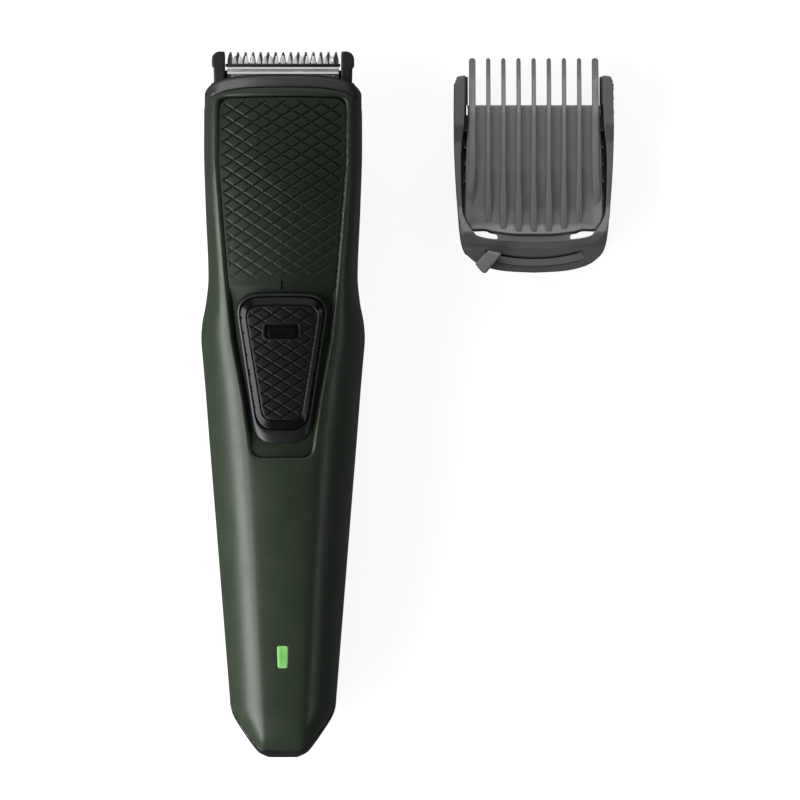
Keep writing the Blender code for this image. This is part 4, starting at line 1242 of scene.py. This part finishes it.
STEP_AT = (63.0, 3.8)  # Y where a change of height starts, and its length
LEDGE_AT = (44.5, 5.5)
TILT_AT = (38.5, 2.9)
DIP_AT = (53.0, 9.0)
LIP_AT = (40.6, 2.1)
EDGE_AT = (50.0, 8.0)
LEAN_AT = (54.0, 8.0)
LEDGE_TOP = 13.8
LEDGE_TILT = 0.35      # slopes, as fall per millimetre
SKIRT_SLOPE = 0.45
KNOB_BOTTOM = 12.5
BAND_BOTTOM = 11.0
PLATE_TOP = 11.0
PLATE_DIP = 1.3
PLATE_LIP = 0.9
TONGUE_LEVELS = (8.3, 9.7)
STEM_BOTTOM = 10.0


def both_sides(right):
    """Right side of a line that ends on X = 0, with its mirror image."""
    return list(right) + [(-x, y) for x, y in reversed(right[:-1])]


def at_comb(points):
    """The same points beside the trimmer, where the comb lies."""
    return [(COMB_X + x, y) for x, y in points]


def swing_point(radius, degrees):
    """Point on an arc about the lever's centre, 0 degrees straight down."""
    angle = math.radians(degrees)
    return (radius * math.sin(angle), SWING_Y - radius * math.cos(angle))


def arc_band(radius, half_width, reach, steps=24, rounded_ends=True):
    """Curved band about the lever's centre."""
    out = []
    for sign in (1, -1):
        out += [swing_point(radius + sign * half_width, sign * a)
                for a in np.linspace(-reach, reach, steps)]
        end_x, end_y = swing_point(radius, sign * reach)
        for k in range(1, 6 if rounded_ends else 1):
            turn = math.radians(sign * reach) + math.pi * k / 6 * sign
            out.append((end_x + sign * half_width * math.sin(turn) * sign,
                        end_y - half_width * math.cos(turn) * sign))
    return out


def below(place, y):
    """Rises from 0 at the start of a place to 1 over its length, towards the U."""
    start, length = place
    return ramp(start - y, length)


def frame_height(y):
    """Top of the comb's frame: high arm ends, a step down, and a ledge round the U."""
    high = ARM_TOP - ARM_STEP * below(STEP_AT, y)
    rise = (LEDGE_TOP - ARM_TOP + ARM_STEP) * below(LEDGE_AT, y)
    start, length = TILT_AT
    return high + rise - LEDGE_TILT * np.clip(start - y, 0, length)


def skirted(x, y):
    """The same with the skirt that slopes down outside the ledge."""
    points = np.column_stack([x, y])
    ledge = both_sides(flowing(LEDGE_RIDGE))
    closed = [(18.4, 80.0), (18.4, 44.6)] + ledge + [(-18.4, 44.6), (-18.4, 80.0)]
    gap = distance_to(points, ledge + ledge[::-1])
    z = frame_height(y) - np.where(inside(points, closed), 0.0, SKIRT_SLOPE * gap)
    reach = np.hypot(x, y - SWING_Y)
    turn = np.degrees(np.arctan2(np.abs(x), SWING_Y - y))
    strip = (np.abs(reach - SLOT_RADIUS) < STRIP_HALF) & (turn < SLOT_REACH)
    return np.where(strip, STRIP_LEVEL, z)


def comb_frame():
    """U-shaped frame: arms with a groove inside for the insert, and a slotted band."""
    outer = both_sides(flowing(COMB_OUTER))
    inner = both_sides(flowing(COMB_INSIDE))
    lip = [FRAME_LIP * (1 + ramp(y - 60.7, 10.0)) for _, y in outer] + [FRAME_LIP] * len(inner)
    outline = outer + inner[::-1]
    ledge = [p for p in both_sides(flowing(LEDGE_RIDGE)) if p[1] < 43.0]
    slit = arc_band(SLIT_RADIUS, 0.22, SLOT_REACH - 1.5)
    creases = [ledge]
    for grow in (-0.03, 0.03):
        strip = arc_band(SLOT_RADIUS, STRIP_HALF + grow, SLOT_REACH + grow, rounded_ends=False)
        creases.append(strip + strip[:1])
    drawn_in = inset(outline, lip)
    flat, faces = flat_patch(drawn_in, [slit], 0.45, creases=creases)
    x, y = flat[:, 0], flat[:, 1]
    top = skirted(x, y)
    radius = np.full(len(flat), FRAME_LIP)
    nearest = np.array([np.argmin((x - a) ** 2 + (y - b) ** 2) for a, b in drawn_in])
    radius[nearest] = lip
    radius[distance_to(flat, slit) < 0.02] = 0.05
    verts, faces = thick_patch(np.column_stack([x + COMB_X, y, top]), faces, radius, 3.0,
                               steps=4, bottom=frame_bottom)
    return joined([(verts, faces)] + arm_walls(outer))


def frame_bottom(x, y):
    """Underside of the frame's top part."""
    side = abs(x - COMB_X)
    if side > ARM_INNER:
        return GROOVE[1]
    return min(BAND_BOTTOM, float(skirted(np.array([side]), np.array([y]))[0]) - 0.7)


def arm_walls(outer):
    """Outer walls of the arms, and the feet under the rail's groove."""
    parts = []
    right = [p for p in outer if p[0] > ARM_INNER]
    for side in (-1, 1):
        wall = right + [(GROOVE_REACH, right[-1][1] + 3.0), (GROOVE_REACH, right[0][1])]
        foot = right + [(ARM_INNER, right[-1][1]), (ARM_INNER, right[0][1])]
        for plan, low, high in ((wall, GROOVE[0], GROOVE[1] + 0.2), (foot, 0.0, GROOVE[0])):
            points = at_comb([(side * x, y) for x, y in plan[::side]])
            parts.append(plate(points, low, high, 0.02, gap=1.5))
        flare = [(15.9, GROOVE[1]), (14.85, GROOVE[1]), (15.6, 13.6), (15.9, 13.6)][::side]
        parts.append(lofted([[(COMB_X + side * x, y, z) for x, z in flare]
                             for y in (73.95, 70.8, 67.6)]))
    return parts


def plate_height(y):
    """Top of the insert's plate: level, then a dip, then a lip that curves up."""
    return PLATE_TOP - PLATE_DIP * below(DIP_AT, y) + PLATE_LIP * below(LIP_AT, y) ** 1.5


def linear(stations, y):
    """Straight lines through the stations."""
    return np.interp(y, *zip(*stations))


def rib(x, half, spread, lean=0.0):
    """One rib: a rounded bar that ends in a wedge on the plate and in a soft tip.
    The wedge's foot leans sideways."""
    end = 38.9 + 5.4 * abs(x / OUTER_RIB_X) ** 3
    round_start = RIB_TIP - RIB_ROUND
    ys = np.concatenate([np.linspace(end, end + 1.5, 5), np.linspace(end + 2.5, 73, 22),
                         np.linspace(74, round_start, 6),
                         RIB_TIP - RIB_ROUND * np.array([0.7, 0.4, 0.2, 0.0])])
    rings = []
    for y in ys:
        top = linear([(end, plate_height(end) + 0.05)] + RIB_TOP, y)
        low = linear([(end, 8.4)] + RIB_BOTTOM, y)
        to_tip = math.sqrt(max(0.06, 1 - max(0.0, (y - round_start) / RIB_ROUND) ** 2))
        wide = to_tip * linear([(end, 0.6 * spread), (end + 0.4, spread), (45.5, spread),
                                (50.0, half)], y)
        middle = COMB_X + x + lean * below(LEAN_AT, y)
        corner = min(0.22, wide * 0.7)
        ring = rounded([(-wide, low), (wide, low), (wide, top), (-wide, top)], corner, 3)
        rings.append([(middle + a, float(y), b) for a, b in ring])
    return lofted(rings)


def both_blocks(low, high, radius, y=0.0):
    """Soft boxes at the comb's right and left, from corners of the right one."""
    boxes = []
    for side in (-1, 1):
        x0, x1 = sorted((COMB_X + side * low[0], COMB_X + side * high[0]))
        boxes.append(soft_box((x0, y + low[1], low[2]), (x1, y + high[1], high[2]), radius))
    return boxes


def insert_sides():
    """Rails that run in the arms' grooves, walls, and the click marks beside the plate."""
    parts = both_blocks(*RAIL, 0.2) + both_blocks(*WALL, 0.2)
    for k in range(MARK_COUNT):
        parts += both_blocks(*MARK, 0.08, MARK_START - MARK_PITCH * k)
    return parts


def comb_insert():
    """Ribbed plate with a lower tongue that reaches under the slotted band."""
    lip = 0.25
    outline = inset(both_sides(flowing(INSERT_PLATE)), lip)
    flat, faces = flat_patch(outline, [], 0.6)
    x, y = flat[:, 0], flat[:, 1]
    z = plate_height(y) + ramp(np.abs(x) - 12.6, 2.4) ** 2 * below(EDGE_AT, y)
    parts = [thick_patch(np.column_stack([x + COMB_X, y, z]), faces, lip, 1.4, steps=3)]
    parts.append(plate(at_comb(inset(both_sides(TONGUE), 0.1)), *TONGUE_LEVELS, 0.1, gap=1.0))
    middle = (RIB_COUNT - 1) / 2
    parts += [rib((i - middle) * RIB_PITCH, 0.48, 0.68) for i in range(1, RIB_COUNT - 1)]
    parts += [rib(side * OUTER_RIB_X, 0.74, 0.6, lean=0.5 * side) for side in (-1, 1)]
    parts += insert_sides()
    return joined(parts)


def comb_lever():
    """Knob with bevelled edges, on a stem through the band's slot."""
    top = node_box("comb_lever")[1][2] - 0.9
    lip = 0.45
    knob = plate(inset(rounded(at_comb(KNOB), 0.5, 4), lip), KNOB_BOTTOM, top, lip, gap=0.4)
    stem_x, stem_y = swing_point(SLIT_RADIUS, SWING_REST)
    stem_x += COMB_X
    stem = soft_box((stem_x - 0.8, stem_y - 0.13, STEM_BOTTOM),
                    (stem_x + 0.8, stem_y + 0.13, LEDGE_TOP + 1.0), 0.06)
    shoe = soft_box((stem_x - 1.8, stem_y - 0.8, STEM_BOTTOM),
                    (stem_x + 1.9, stem_y + 2.5, STEM_BOTTOM + 0.6), 0.15)
    return joined([knob, stem, shoe])


# ---- carried-over nodes

CARRIED = {
    "charge_lamp": "lamp", "circuit_board": "board", "charge_chip": "chip",
    "slide_switch": "nickel", "battery_cell": "battery", "battery_tab_front": "nickel",
    "battery_tab_rear": "nickel", "charging_socket": "chip", "socket_pin": "nickel",
    "motor_can": "steel", "motor_end_cap": "white", "motor_bush": "brass",
    "motor_mount": "unit", "motor_screw_left": "nickel", "motor_screw_right": "nickel",
    "motor_lead_left": "red", "motor_lead_right": "red", "shell_screw": "nickel",
    "motor_shaft": "steel", "eccentric": "white", "blade_spring": "steel",
    "blade_screw_left": "nickel", "blade_screw_right": "nickel", "cutter_fork": "white",
}


def dress_carried_nodes():
    """Gives the CAD nodes that show as they are their materials."""
    for node, look in CARRIED.items():
        obj = frame["nodes"][node]
        obj.data.materials.clear()
        obj.data.materials.append(MAT[look])


# ---- stage

FLOOR_HALF = 3.0       # stage, lights and camera are in metres
FLOOR_LEVEL = -0.0004
FLOOR_GLOW = 0.90
WORLD_GLOW = 0.08
LIGHTS_AIM = (0.02, 0.0, 0.02)
CAMERA_LENS = 400
CAMERA_SENSOR = 36
VIEW_WIDTH = 0.18
VIEW_CENTRE = (0.0263, 0.001)


def area_light(name, place, size, brightness, only=None):
    """Softbox aimed at the object; brightness is its radiance. It can light every piece, or
    only those whose names start in the ways given."""
    light = bpy.data.lights.new(name, "AREA")
    light.shape = "RECTANGLE"
    light.size, light.size_y = size
    light.energy = math.pi * brightness * size[0] * size[1]
    obj = bpy.data.objects.new(name, light)
    obj.location = place
    obj.visible_camera = False
    aim = Vector(LIGHTS_AIM) - Vector(place)
    obj.rotation_euler = aim.to_track_quat("-Z", "Y").to_euler()
    if only:
        obj.light_linking.receiver_collection = pieces_named(name, only)
    bpy.context.scene.collection.objects.link(obj)


def pieces_named(name, starts):
    """Collection of the pieces whose names start in one of these ways."""
    pieces = bpy.data.collections.new(name)
    for obj in bpy.data.objects:
        if obj.name.startswith(starts) and obj.name.endswith("_skin"):
            pieces.objects.link(obj)
    return pieces


def floor():
    """Pale floor that glows evenly and lights nothing else."""
    mesh = bpy.data.meshes.new("floor")
    corners = [(x * FLOOR_HALF, y * FLOOR_HALF, 0) for x, y in ((-1, -1), (1, -1), (1, 1), (-1, 1))]
    mesh.from_pydata(corners, [], [(0, 1, 2, 3)])
    mat = bpy.data.materials.new("floor")
    mat.use_nodes = True
    tree = mat.node_tree
    shader = tree.nodes["Principled BSDF"]
    shader.inputs["Base Color"].default_value = (0.3, 0.3, 0.3, 1)
    shader.inputs["Roughness"].default_value = 0.9
    shader.inputs["Specular IOR Level"].default_value = 0.0
    shader.inputs["Emission Color"].default_value = (1, 1, 1, 1)
    shader.inputs["Emission Strength"].default_value = FLOOR_GLOW
    clear = tree.nodes.new("ShaderNodeBsdfTransparent")
    side = tree.nodes.new("ShaderNodeNewGeometry")
    mix = tree.nodes.new("ShaderNodeMixShader")
    tree.links.new(side.outputs["Backfacing"], mix.inputs["Fac"])
    tree.links.new(shader.outputs["BSDF"], mix.inputs[1])
    tree.links.new(clear.outputs["BSDF"], mix.inputs[2])
    tree.links.new(mix.outputs["Shader"], tree.nodes["Material Output"].inputs["Surface"])
    mesh.materials.append(mat)
    obj = bpy.data.objects.new("floor", mesh)
    obj.location.z = FLOOR_LEVEL
    obj.visible_diffuse = False
    obj.visible_glossy = False
    bpy.context.scene.collection.objects.link(obj)


def stage():
    """Floor, a faint even sky and the softboxes."""
    floor()
    world = bpy.data.worlds.new("studio")
    bpy.context.scene.world = world
    world.use_nodes = True
    world.node_tree.nodes["Background"].inputs["Color"].default_value = (1, 1, 1, 1)
    world.node_tree.nodes["Background"].inputs["Strength"].default_value = WORLD_GLOW
    area_light("key_left", (-0.23, -0.10, 0.10), (0.5, 0.16), 6.0)
    area_light("ridge_left", (-0.52, -0.12, 0.62), (0.9, 0.14), 7.0)
    area_light("top_fill", (0.1, 0.75, 0.55), (1.2, 0.5), 0.9)
    area_light("comb_fill", (0.1, 0.62, 0.75), (1.2, 0.5), 4.2, ("comb_",))
    area_light("head_fill", (-0.6, 0.55, 0.8), (0.5, 0.5), 5.0,
               ("head_rim", "blade_", "fixed_blade", "cutter_blade"))
    area_light("right_edge", (0.9, -0.1, 0.3), (0.8, 0.1), 3.0)


def camera():
    """Long lens straight above the object."""
    data = bpy.data.cameras.new("camera")
    data.lens = CAMERA_LENS
    data.sensor_width = CAMERA_SENSOR
    data.clip_end = 20
    distance = VIEW_WIDTH * CAMERA_LENS / CAMERA_SENSOR
    cam = bpy.data.objects.new("camera", data)
    cam.location = (*VIEW_CENTRE, PART_LINE * MM + distance)
    bpy.context.scene.collection.objects.link(cam)
    bpy.context.scene.camera = cam


PIECES = {
    "front_shell": (front_shell, "green", "handle", "green_shell"),
    "rear_shell": (rear_shell, "black", "handle", "black_shell"),
    "head_rim": (head_rim, "rim", "handle", "rim_plastic"),
    "front_panel": (front_panel, "panel", "handle", "panel_plastic"),
    "switch_bezel": (switch_bezel, "bezel", "handle", "bezel_plastic"),
    "switch_slider": (switch_slider, "gloss", "power_switch", "gloss_plastic"),
    "switch_pad": (switch_pad, "pad", "power_switch", "pad_rubber"),
    "led_window": (led_window, "lamp", "handle", "lamp_window"),
    "fixed_blade": (fixed_blade, "teeth", "cutting_unit", "steel"),
    "cutter_blade": (cutter_blade, "cutter", "cutter", "steel"),
    "blade_clip": (blade_clip, "clip", "cutting_unit", "steel"),
    "blade_carrier": (blade_carrier, "unit", "cutting_unit", "unit_plastic"),
    "comb_frame": (comb_frame, "frame", "comb", "comb_frame_plastic"),
    "comb_insert": (comb_insert, "insert", "insert", "comb_insert_plastic"),
    "comb_lever": (comb_lever, "lever", "lever", "lever_plastic"),
}

for node, (build, look, body, slot) in PIECES.items():
    add_piece(node, build(), look, body)
dress_carried_nodes()
stage()
camera()
bpy.context.scene.view_settings.view_transform = "Standard"
